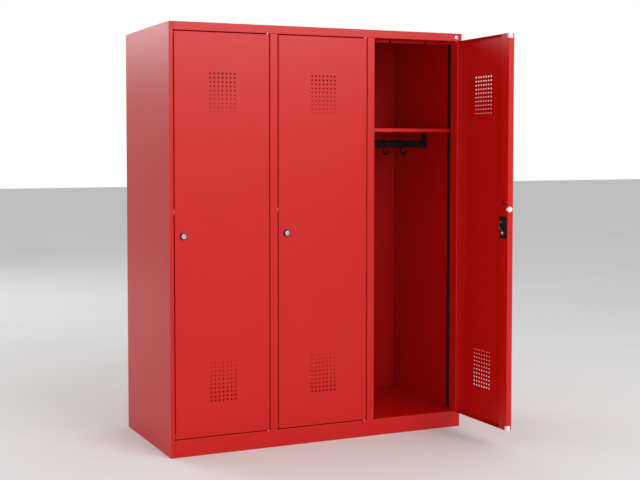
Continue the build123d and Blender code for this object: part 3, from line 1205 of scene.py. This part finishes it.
def punched_plate(
    bm: bmesh.types.BMesh,
    x_lines: Sequence[float],
    z_lines: Sequence[float],
    depths: Pair,
    punched: Callable[[float, float], bool],
) -> None:
    """Fill both skins of a flat sheet round its punched cells.

    Args:
        bm: Mesh that holds the punched cells and any folds already.
        x_lines: Cell borders along X.
        z_lines: Cell borders along Z.
        depths: Y of the front and of the back skin.
        punched: Says from a cell's middle whether it is punched.
    """
    for depth in depths:
        for x in x_lines:
            for z in z_lines:
                bm.verts.new((x, depth, z))
    bmesh.ops.remove_doubles(bm, verts=bm.verts, dist=TINY)
    for depth in depths:
        fill_flat(bm, x_lines, z_lines, depth, punched)


# ---------------------------------------------------------------- bays


@dataclass
class Bay:
    """Inside of one bay: floor, shelf, black strips whose colour is painted shade on the hinge-side
    post, coat rail and sliding hooks.
    """

    shop: Workshop
    plan: Layout
    number: int
    flange: float = 12 * MM
    lip: float = 14 * MM
    lip_return: float = 10 * MM
    rail_size: Pair = (15 * MM, 29.5 * MM)
    hook_fit: float = 0.4 * MM
    hook_wall: float = 2.4 * MM
    hook_bar: Pair = (9 * MM, 5 * MM)
    hook_bend: float = 9 * MM
    hooks: tuple[int, ...] = (1, 2, 3)

    def tray(self, name: str, node: str, profile: list[Pair], half_front: float) -> None:
        """Make a flanged tray between the walls.

        Args:
            name: Name of the piece.
            node: CAD node that it stands for.
            profile: Corners of its section from the rear flange to the front.
            half_front: Half its width in front of the posts.
        """
        plan, x = self.plan, self.plan.bay(self.number)
        low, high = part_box(node)
        lines = merged({low.x, x - half_front, x + half_front, high.x})

        def kept(middle: Vector) -> bool:
            """Whether a cell is sheet."""
            return middle.y > plan.post_back - TINY or abs(middle.x - x) < half_front

        bm = bmesh.new()
        fold(bm, profile, lines, lengthwise, kept)
        for side in (low.x + HALF, high.x - HALF):
            strip = [(side, high.z - self.flange), (side, high.z - SHEET)]
            fold(bm, strip, (plan.post_back, plan.rear - SHEET), lambda a, b, y: Vector((a, y, b)))
        self.shop.piece(name, bm, Slot.RED, "cabinet", [node])

    def floor(self) -> None:
        """Floor tray that stands on the base."""
        _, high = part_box(f"floor_{self.number}")
        level, rear = high.z - HALF, self.plan.rear - HALF
        front = self.plan.post_back + HALF
        foot = high.z - self.flange
        profile = [(rear, foot), (rear, level), (front, level), (front, foot)]
        name, node = f"bay_{self.number}_floor", f"floor_{self.number}"
        self.tray(name, node, profile, self.plan.opening / 2)

    def shelf(self) -> None:
        """Hat shelf with a deep front lip turned back under."""
        low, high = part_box(f"shelf_{self.number}")
        level, rear = high.z - HALF, self.plan.rear - HALF
        front, under = low.y + HALF, high.z - self.lip + HALF
        profile = [
            (rear, high.z - self.flange),
            (rear, level),
            (self.plan.post_back, level),
            (front, level),
            (front, under),
            (low.y + self.lip_return, under),
        ]
        half_front = self.plan.opening / 2 - 0.4 * MM
        self.tray(f"bay_{self.number}_hat_shelf", f"shelf_{self.number}", profile, half_front)

    def strips(self) -> None:
        """Black strips on the hinge-side post, with rounded edges and two grooves; their black is
        painted shade for the dark gap behind the door's hinge edge.
        """
        node = f"hinge_strips_{self.number}"
        low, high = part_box(node)
        shelf_low, shelf_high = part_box(f"shelf_{self.number}")
        thick, groove = high.x - low.x, 0.5 * MM
        width = high.y - low.y
        outline = [Vector((high.x, low.y)), Vector((high.x, high.y))]
        outline += arc((low.x + thick / 2, high.y - thick / 2), thick / 2, 90, 180, 4)
        for share in (0.68, 0.32):
            centre = low.y + width * share
            outline += [
                Vector((low.x, centre + 2 * groove)),
                Vector((low.x + groove, centre + groove)),
                Vector((low.x + groove, centre - groove)),
                Vector((low.x, centre - 2 * groove)),
            ]
        outline += arc((low.x + thick / 2, low.y + thick / 2), thick / 2, 180, 270, 4)
        bm = bmesh.new()
        for start, end in (
            (low.z, shelf_low.z - 1 * MM if shelf_low.z > low.z else high.z),
            (shelf_high.z + 1 * MM, high.z),
        ):
            prism(bm, outline, start, end, upright)
        # The black plastic finish on these strips is painted shade that darkens the gap behind the
        # door's hinge edge.
        self.shop.piece(f"bay_{self.number}_shade_strips", bm, Slot.BLACK, "cabinet", [node])

    def rail(self) -> None:
        """Flat-sided oval coat rail and the two brackets that hang it under the shelf."""
        node = f"coat_rail_{self.number}"
        low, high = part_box(node)
        middle = (low + high) / 2
        bm = bmesh.new()
        outline = slot_outline((middle.y, middle.z), high.y - low.y, high.z - low.z, 12)
        prism(bm, outline, low.x, high.x, lengthwise)
        soften(bm, 0.5 * MM, angle=math.radians(60))
        self.shop.piece(f"bay_{self.number}_coat_rail", bm, Slot.BLACK, "cabinet", [node])

        node = f"coat_rail_brackets_{self.number}"
        ends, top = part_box(node)
        bm = bmesh.new()
        for start, end in ((ends.x, low.x), (high.x, top.x)):
            prism(bm, self.bracket_outline(middle.y, middle.z, top.z), start, end, lengthwise)
        soften(bm, 0.8 * MM, angle=math.radians(55))
        self.shop.piece(f"bay_{self.number}_rail_brackets", bm, Slot.BLACK, "cabinet", [node])

    def bracket_outline(self, y: float, z: float, top: float) -> list[Vector]:
        """Side view of a bracket: an eye round the rail, a stem and a foot under the shelf.

        Args:
            y: Middle of the rail.
            z: Height of the rail.
            top: Underside of the shelf.

        Returns:
            The closed outline.
        """
        width, height = (size + 6 * MM for size in self.rail_size)
        stem, foot, foot_thick = self.rail_size[0] / 2 - 1.5 * MM, self.rail_size[0], 4 * MM
        eye = slot_outline((0.0, z), width, height, 14)
        shoulder = [p for p in eye if not (p.y > z and abs(p.x) < stem)]
        start = next(i for i, p in enumerate(shoulder) if p.y > z and p.x < 0)
        ring = shoulder[start:] + shoulder[:start]
        neck = [(stem, z), (stem, top - foot_thick), (foot, top - foot_thick), (foot, top)]
        flare = [p for p in rounded(neck, 3 * MM, 4)[1:]]
        mirrored = [Vector((-p.x, p.y)) for p in reversed(flare)]
        return [Vector((p.x + y, p.y)) for p in ring + flare + mirrored]

    def hook(self, index: int) -> None:
        """One coat hook: a collar round the rail and a J-shaped arm that points to the front.

        Args:
            index: Which hook of the bay, from the left.
        """
        node = f"coat_hook_{self.number}_{index}"
        low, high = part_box(node)
        rail_low, rail_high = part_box(f"coat_rail_{self.number}")
        y, z = (rail_low.y + rail_high.y) / 2, (rail_low.z + rail_high.z) / 2
        inner = [size + 2 * self.hook_fit for size in self.rail_size]
        outer = [size + 2 * self.hook_wall for size in inner]
        bm = bmesh.new()
        tube(
            bm,
            slot_outline((y, z), *outer, 12),
            slot_outline((y, z), *inner, 12),
            low.x,
            high.x,
            lengthwise,
        )
        soften(bm, 0.5 * MM, angle=math.radians(60))
        under = z - inner[1] / 2 - self.hook_wall / 2
        arm = [(0, 0), (0, -13), (-12, -25), (-32, -24), (-40, -10)]
        line = bpy.data.curves.new("arm", "CURVE")
        line.dimensions = "3D"
        spline = line.splines.new("POLY")
        spline.points.add(len(arm) - 1)
        for point, (a, b) in zip(spline.points, arm):
            point.co = (0.0, a * MM, b * MM, 1.0)
        width, thickness = self.hook_bar
        values = {
            "Bend Radius": self.hook_bend,
            "Width": thickness,
            "Thickness": width,
            "Edge Radius": 1.6 * MM,
        }
        mesh = self.shop.grow(self.shop.bar, values, line)
        mesh.transform(Matrix.Translation(((low.x + high.x) / 2, y, under)))
        bm.from_mesh(mesh)
        reach, drop = arm[-1]
        tip = Matrix.Translation(((low.x + high.x) / 2, y + reach * MM, under + drop * MM))
        bmesh.ops.create_uvsphere(
            bm, u_segments=20, v_segments=12, radius=3.4 * MM,
            matrix=tip @ Matrix.Diagonal((1.35, 1.0, 1.0, 1.0)),
        )
        self.shop.piece(
            f"bay_{self.number}_hook_{index}", bm, Slot.BLACK, f"hook_{self.number}_{index}", [node]
        )

    def build(self) -> None:
        """Make everything inside the bay."""
        self.floor()
        self.shelf()
        self.strips()
        self.rail()
        for index in self.hooks:
            self.hook(index)


# ---------------------------------------------------------------- doors


@dataclass
class Door:
    """One door in its own frame: the hinge axis is the origin, x runs along the door."""

    shop: Workshop
    number: int
    width: float = 364 * MM
    thick: float = 22 * MM
    lip: float = 44 * MM
    pin: Pair = (6 * MM, 5 * MM)
    pin_radius: float = 3 * MM
    collar: Pair = (4.5 * MM, 2.7 * MM)
    vent_count: tuple[int, int] = (7, 10)
    vent_pitch: Pair = (15.6 * MM, 15 * MM)
    vent_radii: Pair = (3.1 * MM, 1.7 * MM)
    vent_inset: Pair = (193.5 * MM, 212 * MM)
    lock_inset: float = 32 * MM
    lock_z: float = 781 * MM
    skin_hole: float = 10.8 * MM
    case_size: tuple[float, float] = (43 * MM, 80 * MM)
    case_offset: Pair = (-4.5 * MM, 20 * MM)
    slot_centre: Pair = (28 * MM, 111 * MM)
    slot_size: Pair = (20 * MM, 21 * MM)
    slot_taper: float = 5.6 * MM
    bezel: Pair = (12.2 * MM, 7.5 * MM)
    plug_radius: float = 9 * MM
    keyway: tuple[float, float, float] = (1.3 * MM, 5 * MM, 2.4 * MM)
    cap: tuple[float, float, float] = (18 * MM, 15 * MM, 1.6 * MM)
    cap_wrap: float = 9 * MM
    buffer: Pair = (10 * MM, 2 * MM)
    buffer_rise: float = 86 * MM
    tab_inset: float = 3 * MM
    case_corner: float = 3 * MM
    case_proud: float = 1 * MM
    screw_places: tuple[Pair, ...] = ((-13, 31), (13, 31), (13, -24))
    plug_proud: float = 0.6 * MM
    cam_gap: float = 0.3 * MM
    cam_thick: float = 2.5 * MM
    cam_hub: float = 9 * MM
    cam_half: float = 3.5 * MM
    matrix: Matrix = field(init=False)

    def __post_init__(self) -> None:
        """Read the hinge axis and the door's angle and height from the frame."""
        joint = next(j for j in frame["joints"] if j["name"] == f"door_{self.number}_hinge")
        low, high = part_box(f"door_{self.number}_pan")
        opened = high.y - low.y > high.x - low.x
        x, y, _ = joint["pos_m"]
        self.matrix = Matrix.Translation((x, y, 0.0)) @ Matrix.Rotation(
            math.radians(90.0 if opened else 0.0), 4, "Z"
        )
        self.low, self.high = low.z, high.z
        self.edge = self.pin[0] - self.width
        self.face = -self.pin[1]
        self.inner = self.thick - self.pin[1]
        self.lock_x = self.edge + self.lock_inset

    def piece(
        self, name: str, bm: bmesh.types.BMesh, slot: Slot, nodes: list[str], **extra: object
    ) -> None:
        """Place a mesh made in the door's frame."""
        place = self.matrix @ extra.get("local", Matrix.Identity(4))
        body = extra.get("body", f"door_{self.number}")
        self.shop.piece(f"door_{self.number}_{name}", bm, slot, body, nodes, place)

    @property
    def vents(self) -> list[tuple[float, float]]:
        """Middles of the two vent fields."""
        middle = self.edge + self.width / 2
        return [(middle, self.low + self.vent_inset[0]), (middle, self.high - self.vent_inset[1])]

    def punch(self, bm: bmesh.types.BMesh) -> None:
        """Add the vent fields, whose holes shrink towards the door's middle, and the lock hole."""
        rows = self.vent_count[1]
        for row in range(rows):
            share = row / (rows - 1)
            values = {
                "Facets": 24,
                "Hole Radius": self.vent_radii[0] * (1 - share) + self.vent_radii[1] * share,
                "Rim": 0.25 * MM,
                "Thickness": SHEET,
                "Cell Width": self.vent_pitch[0],
                "Cell Height": self.vent_pitch[1],
                "Columns": self.vent_count[0],
                "Rows": 1,
            }
            punched = self.shop.grow(self.shop.field, values)
            for (x, z), outward in zip(self.vents, (-1, 1)):
                level = z + outward * ((rows - 1) / 2 - row) * self.vent_pitch[1]
                mesh = punched.copy()
                mesh.transform(facing(x, self.face, level))
                bm.from_mesh(mesh)
        cell = 3.2 * self.skin_hole
        values = {
            "Facets": 48,
            "Hole Radius": self.skin_hole,
            "Rim": 0.25 * MM,
            "Thickness": SHEET,
            "Cell Width": cell,
            "Cell Height": cell,
        }
        mesh = self.shop.grow(self.shop.cell, values)
        mesh.transform(facing(self.lock_x, self.face, self.lock_z))
        bm.from_mesh(mesh)

    def pan(self) -> None:
        """Door pan: skin, returns on four sides, a boxed hinge edge and a lip on the lock edge."""
        face, inner = self.face + HALF, self.inner - HALF
        hinge, edge = self.pin[0] - HALF, self.edge + HALF
        case_x = self.lock_x + self.case_offset[0]
        window_x = case_x - self.case_size[0] / 2 - 0.3 * MM
        slot_x = [self.edge + self.slot_centre[0] + s * self.slot_size[0] / 2 for s in (-1, 1)]
        field = [n * p / 2 for n, p in zip(self.vent_count, self.vent_pitch)]
        hole = 1.6 * self.skin_hole
        vent_x = self.vents[0][0]
        skin_x = [
            edge + BEND,
            self.lock_x - hole,
            self.lock_x + hole,
            vent_x - field[0],
            vent_x + field[0],
            hinge - BEND,
        ]
        joint = self.pin[0] - 4 * MM
        columns = rounded(
            [
                (joint, inner),
                (hinge, inner),
                (hinge, face),
                *[(x, face) for x in reversed(skin_x[1:-1])],
                (edge, face),
                (edge, inner),
                (window_x, inner),
                *[(x, inner) for x in slot_x],
                (self.edge + self.lip, inner),
            ],
            BEND,
        )
        case_z = self.lock_z + self.case_offset[1]
        window_z = [case_z + s * (self.case_size[1] / 2 + 0.3 * MM) for s in (-1, 1)]
        slot_z = [self.lock_z + self.slot_centre[1] + s * self.slot_size[1] / 2 for s in (-1, 1)]
        hole_z = [self.lock_z - hole, self.lock_z + hole]
        skin_z = [self.low + HALF + BEND, self.high - HALF - BEND, *window_z, *slot_z, *hole_z]
        for _, z in self.vents:
            skin_z += [z - field[1], z + field[1]]
        skin_z = merged(set(skin_z))
        depth = inner - face - HALF - 0.2 * MM
        rows = rounded(
            [
                (depth, self.low + HALF),
                (0.0, self.low + HALF),
                *[(0.0, z) for z in skin_z[1:-1]],
                (0.0, self.high - HALF),
                (depth, self.high - HALF),
            ],
            BEND,
        )

        def grid(column_side: float, row_side: float) -> list[list[Vector]]:
            """Points of one skin of the pan."""
            return [
                [Vector((c.x, c.y + r.x + row_side, r.y)) for r in shifted(rows, -row_side)]
                for c in shifted(columns, column_side)
            ]

        def on_skin(middle: Vector) -> bool:
            """Whether a place is between the two long bends of the skin."""
            return skin_x[0] < middle.x < skin_x[-1] and middle.y < inner - 2 * BEND

        def flat_row(middle: Vector) -> bool:
            """Whether a place is between the top and bottom bends."""
            return skin_z[0] < middle.z < skin_z[-1]

        def cut(middle: Vector) -> bool:
            """Whether a place is in the lock's window or the tapered slot of the inner lip."""
            on_lip = middle.y > inner - BEND and middle.x < self.edge + self.lip + TINY
            window = window_z[0] < middle.z < window_z[1] and middle.x > window_x
            slot = slot_z[0] < middle.z < slot_z[1] and slot_x[0] < middle.x < slot_x[1]
            return on_lip and (window or slot)

        def kept(middle: Vector) -> bool:
            """Whether a cell of the folded part is sheet."""
            if middle.y > inner - BEND and middle.x > self.edge + self.lip:
                on_return = skin_x[0] < middle.x < skin_x[-1] and not flat_row(middle)
                return on_return or (flat_row(middle) and middle.x > joint)
            if on_skin(middle) or not flat_row(middle):
                return on_skin(middle) and not flat_row(middle)
            return not cut(middle)

        bm = bmesh.new()
        outer, inner_grid = grid(HALF, HALF), grid(-HALF, -HALF)
        shell(bm, outer, inner_grid, kept, lambda m: on_skin(m) and flat_row(m))
        for vert in bm.verts:
            if abs(vert.co.y - inner) < SHEET and abs(vert.co.z - slot_z[0]) < TINY:
                for x, shift in zip(slot_x, (self.slot_taper, -self.slot_taper)):
                    if abs(vert.co.x - x) < TINY:
                        vert.co.x += shift
        wall = self.pin[0] - self.lip + HALF
        fold(bm, [(wall, face), (wall, inner), (joint, inner)], (skin_z[0], skin_z[-1]), upright)
        self.punch(bm)

        def punched(x: float, z: float) -> bool:
            """Whether a cell of the skin is punched."""
            in_vent = any(
                abs(x - vx) < field[0] and abs(z - vz) < field[1] for vx, vz in self.vents
            )
            return in_vent or (abs(x - self.lock_x) < hole and abs(z - self.lock_z) < hole)

        punched_plate(bm, skin_x, skin_z, (self.face, self.face + SHEET), punched)
        self.piece("folded_pan", bm, Slot.RED, [f"door_{self.number}_pan"])

    def caps(self) -> None:
        """White corner caps on the lock side, L-shaped in plan with softened edges."""
        height, width, thick = self.cap
        outline = [
            Vector((self.edge - thick, self.inner - width)),
            Vector((self.edge, self.inner - width)),
            Vector((self.edge, self.inner)),
            Vector((self.edge + self.cap_wrap, self.inner)),
            Vector((self.edge + self.cap_wrap, self.inner + thick)),
            Vector((self.edge - thick, self.inner + thick)),
        ]
        bm = bmesh.new()
        for start, end in ((self.low, self.low + height), (self.high - height, self.high)):
            prism(bm, outline, start, end, upright)
        soften(bm, 0.5 * MM, segments=3)
        self.piece("white_corner_caps", bm, Slot.WHITE, [f"door_{self.number}_corner_caps"])

    def stop(self) -> None:
        """Round white buffer on the lock-side edge, with a half-round tab over the lip."""
        radius, thick = self.buffer
        z = self.lock_z + self.buffer_rise
        y = self.inner - radius + 2 * MM
        bm = bmesh.new()
        profile = [(0.0, 0.0), (radius, 0.0), (radius, 0.5 * thick), (0.94 * radius, 0.82 * thick)]
        profile += [(0.8 * radius, thick), (0.45 * radius, thick), (0.0, thick)]
        turned(bm, profile)
        bm.transform(
            Matrix.Translation((self.edge, y, z)) @ Matrix.Rotation(math.radians(-90), 4, "Y")
        )
        tab = bmesh.new()
        half = radius - self.tab_inset
        turns = [math.radians(turn) for turn in range(-90, 91, 15)]
        outline = [
            Vector((self.edge + self.cap_wrap * math.cos(turn), z + half * math.sin(turn)))
            for turn in turns
        ]
        prism(tab, outline, -self.inner - self.cap[2], -self.inner, upright)
        tab.transform(Matrix.Rotation(math.radians(90), 4, "X"))
        soften(tab, 0.5 * MM)
        absorb(bm, tab)
        self.piece("white_buffer", bm, Slot.WHITE, [f"door_{self.number}_buffer"])

    def lock(self) -> None:
        """Cam lock: bezel, case, plug with its keyway, and hook cam."""
        rim, proud = self.bezel
        front = facing(self.lock_x, self.face, self.lock_z)
        plug, neck = self.plug_radius, self.skin_hole
        bm = bmesh.new()
        profile = [
            (plug + 0.05 * MM, -SHEET),
            (neck, -SHEET),
            (neck, 0.0),
            (rim, 0.0),
            (rim, 0.45 * proud),
            (rim - 0.5 * MM, 0.8 * proud),
            (rim - 1.4 * MM, proud),
            (plug + 0.9 * MM, proud),
            (plug + 0.2 * MM, 0.8 * proud),
            (plug + 0.05 * MM, 0.5 * proud),
        ]
        turned(bm, profile, steps=56, closed=True)
        self.piece("black_bezel", bm, Slot.BLACK, [f"door_{self.number}_lock_bezel"], local=front)

        width, height = self.case_size
        start = self.face + SHEET
        depth = self.inner + self.case_proud - start
        case = facing(self.lock_x + self.case_offset[0], start, self.lock_z + self.case_offset[1])
        notch = [(13, -40), (4, -34.5), (0, -32.5), (-4, -34.5), (-13, -40)]
        corner = self.case_corner
        outline = arc((width / 2 - corner, corner - height / 2), corner, -90, 0, 4)
        outline += arc((width / 2 - corner, height / 2 - corner), corner, 0, 90, 4)
        outline += arc((corner - width / 2, height / 2 - corner), corner, 90, 180, 4)
        outline += arc((corner - width / 2, corner - height / 2), corner, 180, 270, 4)
        outline += [Vector((x * MM, y * MM)) for x, y in reversed(notch)]
        bm = bmesh.new()
        prism(bm, outline, -depth, 0.0, upright)
        soften(bm, 0.8 * MM, segments=3, angle=math.radians(50))
        for x, y in self.screw_places:
            boss = [(0.0, -depth), (3.4 * MM, -depth), (3.0 * MM, -depth - 0.5 * MM)]
            screw = bmesh.new()
            turned(screw, boss, polygon_radius(6, 1.3 * MM), -0.45 * MM, steps=24)
            screw.transform(Matrix.Translation((x * MM, y * MM, 0.0)))
            absorb(bm, screw)
        self.piece("black_lock_case", bm, Slot.BLACK, [f"door_{self.number}_lock_case"], local=case)

        body = f"lock_{self.number}"
        nose = proud + self.plug_proud
        cam_front = self.inner + self.case_proud + self.cam_gap - self.face
        cam_back = cam_front + self.cam_thick
        bm = bmesh.new()
        profile = [
            (0.0, -cam_front),
            (0.92 * plug, -cam_front),
            (plug, -cam_front + 0.6 * MM),
            (plug, nose - 0.6 * MM),
            (0.95 * plug, nose - 0.15 * MM),
            (0.88 * plug, nose),
            (0.66 * plug, nose),
            (0.62 * plug, nose - 0.35 * MM),
        ]
        turned(bm, profile, keyway_radius(*self.keyway), 3 * MM, steps=56)
        nut = bmesh.new()
        profile = [(0.0, 0.0), (6.6 * MM, 0.0), (7 * MM, 0.5 * MM), (6.7 * MM, 1.5 * MM)]
        profile += [(5.4 * MM, 2.2 * MM), (3.8 * MM, 2.5 * MM)]
        turned(nut, profile, polygon_radius(6, 2.4 * MM), 1.6 * MM, steps=36)
        nut.transform(Matrix.Translation((0, 0, -cam_back)) @ Matrix.Rotation(math.pi, 4, "X"))
        absorb(bm, nut)
        self.piece(
            "silver_plug", bm, Slot.ZINC, [f"lock_{self.number}_plug"], local=front, body=body
        )

        bm = bmesh.new()
        prism(bm, self.cam_outline(), -cam_back, -cam_front, upright)
        soften(bm, 0.4 * MM, angle=math.radians(50))
        self.piece(
            "silver_hook_cam", bm, Slot.ZINC, [f"lock_{self.number}_cam"], local=front, body=body
        )

    def cam_outline(self) -> list[Vector]:
        """Outline of the cam: a round hub with a hooked arm.

        Returns:
            The closed outline.
        """
        hub, half = self.cam_hub, self.cam_half
        corners = [(0, 0), (6, 12), (20, 15), (24.5, 26), (16, 37), (3, 39.5)]
        path = rounded([(x * MM, y * MM) for x, y in corners], 4 * MM, 6)
        lead = math.degrees(math.atan2(corners[1][1], corners[1][0]))
        spread = math.degrees(math.asin(half / hub))
        outside = [i for i, p in enumerate(path) if p.length > hub + 0.5 * MM]
        left = [shifted(path, half)[i] for i in outside]
        right = [shifted(path, -half)[i] for i in outside]
        ahead = (path[-1] - path[-2]).normalized()
        heading = math.degrees(math.atan2(ahead.y, ahead.x))
        tip = arc(tuple(path[-1]), half, heading - 90, heading + 90, 8)[1:-1]
        round_hub = arc((0, 0), hub, lead + spread, lead + 360 - spread, 28)
        return round_hub + right + tip + list(reversed(left))

    def pins(self) -> None:
        """Turned hinge pins with collars, above and below the door."""
        plan_low, plan_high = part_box(f"hinge_pins_{self.number}")
        collar, rise = self.collar
        profile = [
            (0.0, 0.0),
            (collar, 0.0),
            (collar, rise - 0.4 * MM),
            (collar - 0.4 * MM, rise),
            (self.pin_radius, rise),
            (self.pin_radius, 15.4 * MM),
            (self.pin_radius - 0.6 * MM, 16 * MM),
            (0.0, 16 * MM),
        ]
        bm = bmesh.new()
        turned(bm, profile, steps=32)
        bm.transform(Matrix.Translation((0, 0, plan_low.z)))
        upper = bmesh.new()
        turned(upper, profile, steps=32)
        upper.transform(Matrix.Translation((0, 0, plan_high.z)) @ Matrix.Rotation(math.pi, 4, "X"))
        absorb(bm, upper)
        self.piece(
            "turned_hinge_pins", bm, Slot.ZINC, [f"hinge_pins_{self.number}"], body="cabinet"
        )

    def build(self) -> None:
        """Make the door, its lock, its trim and its hinge pins."""
        self.pan()
        self.caps()
        self.stop()
        self.lock()
        self.pins()


# ---------------------------------------------------------------- studio


@dataclass(frozen=True)
class Softbox:
    """One soft rectangular light: where it stands, what it faces, its size and its watts."""

    name: str
    place: tuple[float, float, float]
    aim: tuple[float, float, float]
    size: Pair
    power: float

    def build(self) -> None:
        """Add the light to the scene."""
        data = bpy.data.lights.new(self.name, "AREA")
        data.shape = "RECTANGLE"
        data.size, data.size_y = self.size
        data.energy = self.power
        made = bpy.data.objects.new(self.name, data)
        made.location = self.place
        made.rotation_mode = "QUATERNION"
        ahead = Vector(self.aim) - Vector(self.place)
        made.rotation_quaternion = ahead.to_track_quat("-Z", "Y")
        bpy.context.scene.collection.objects.link(made)


@dataclass
class Studio:
    """Pale floor, soft lights and the camera."""

    eye: tuple[float, float, float] = (-1.878, -3.858, 1.072)
    yaw: float = 22.33
    pitch: float = -2.52
    roll: float = -0.19
    lens: float = 61.91
    shift: Pair = (0.15, -0.06)
    floor_colour: float = 0.82
    floor_mottle: float = 1.02
    floor_roughness: float = 0.9
    floor_shine: float = 0.1
    floor_half: float = 30.0
    floor_drop: float = 0.5 * MM
    backdrop: float = 1.0
    surround: float = 0.62
    lights: tuple[Softbox, ...] = (
        Softbox("key", (1.4, -4.6, 2.95), (0.0, 0.0, 0.8), (3.4, 2.2), 120.0),
        Softbox("fill", (-2.6, -4.2, 0.9), (0.2, 0.2, 0.5), (1.8, 1.4), 30.0),
        Softbox("rim", (-2.9, 5.0, 3.15), (-0.6, 0.0, 1.0), (3.0, 2.4), 90.0),
    )

    def camera(self) -> None:
        """Three-quarter view from the front left, at standing height."""
        data = bpy.data.cameras.new("camera")
        data.lens = self.lens
        data.shift_x, data.shift_y = self.shift
        made = bpy.data.objects.new("camera", data)
        turn = Matrix.Rotation(math.radians(-self.yaw), 4, "Z")
        tilt = Matrix.Rotation(math.radians(90 + self.pitch), 4, "X")
        bank = Matrix.Rotation(math.radians(self.roll), 4, "Z")
        made.matrix_world = Matrix.Translation(self.eye) @ turn @ tilt @ bank
        bpy.context.scene.collection.objects.link(made)
        bpy.context.scene.camera = made

    def floor(self) -> None:
        """Large pale floor, faintly mottled."""
        bm = bmesh.new()
        bmesh.ops.create_grid(bm, x_segments=1, y_segments=1, size=self.floor_half)
        mesh = bpy.data.meshes.new("studio_floor")
        bm.to_mesh(mesh)
        bm.free()
        shader = Shader("studio_floor")
        tone = self.floor_colour
        shader.tint(shader.noise(1.5), (tone,) * 3, (tone * self.floor_mottle,) * 3)
        shader.surface.inputs["Roughness"].default_value = self.floor_roughness
        shader.surface.inputs["Specular IOR Level"].default_value = self.floor_shine
        mesh.materials.append(shader.material)
        made = bpy.data.objects.new("studio_floor", mesh)
        made.location.z = -self.floor_drop
        bpy.context.scene.collection.objects.link(made)

    def world(self) -> None:
        """White backdrop, with a dimmer surround in reflections."""
        world = bpy.data.worlds.new("studio")
        world.use_nodes = True
        tree = world.node_tree
        tree.nodes.clear()
        seen = tree.nodes.new("ShaderNodeBackground")
        seen.inputs["Color"].default_value = (*(self.backdrop,) * 3, 1.0)
        around = tree.nodes.new("ShaderNodeBackground")
        around.inputs["Color"].default_value = (*(self.surround,) * 3, 1.0)
        mix = tree.nodes.new("ShaderNodeMixShader")
        ray = tree.nodes.new("ShaderNodeLightPath")
        output = tree.nodes.new("ShaderNodeOutputWorld")
        tree.links.new(ray.outputs["Is Camera Ray"], mix.inputs["Fac"])
        tree.links.new(around.outputs[0], mix.inputs[1])
        tree.links.new(seen.outputs[0], mix.inputs[2])
        tree.links.new(mix.outputs[0], output.inputs["Surface"])
        bpy.context.scene.world = world
        bpy.context.scene.view_settings.view_transform = "Standard"

    def build(self) -> None:
        """Set up the studio."""
        self.camera()
        self.floor()
        self.world()
        for light in self.lights:
            light.build()


def main() -> None:
    """Build the whole locker and its studio."""
    logging.basicConfig(level=logging.INFO, format="%(name)s %(message)s")
    shop = Workshop()
    plan = Layout.read()
    Cabinet(shop, plan).build()
    for number in BAYS:
        Bay(shop, plan, number).build()
        Door(shop, number).build()
    Studio().build()
    log.info("%d pieces made", shop.count)


if __name__ == "__main__":
    main()
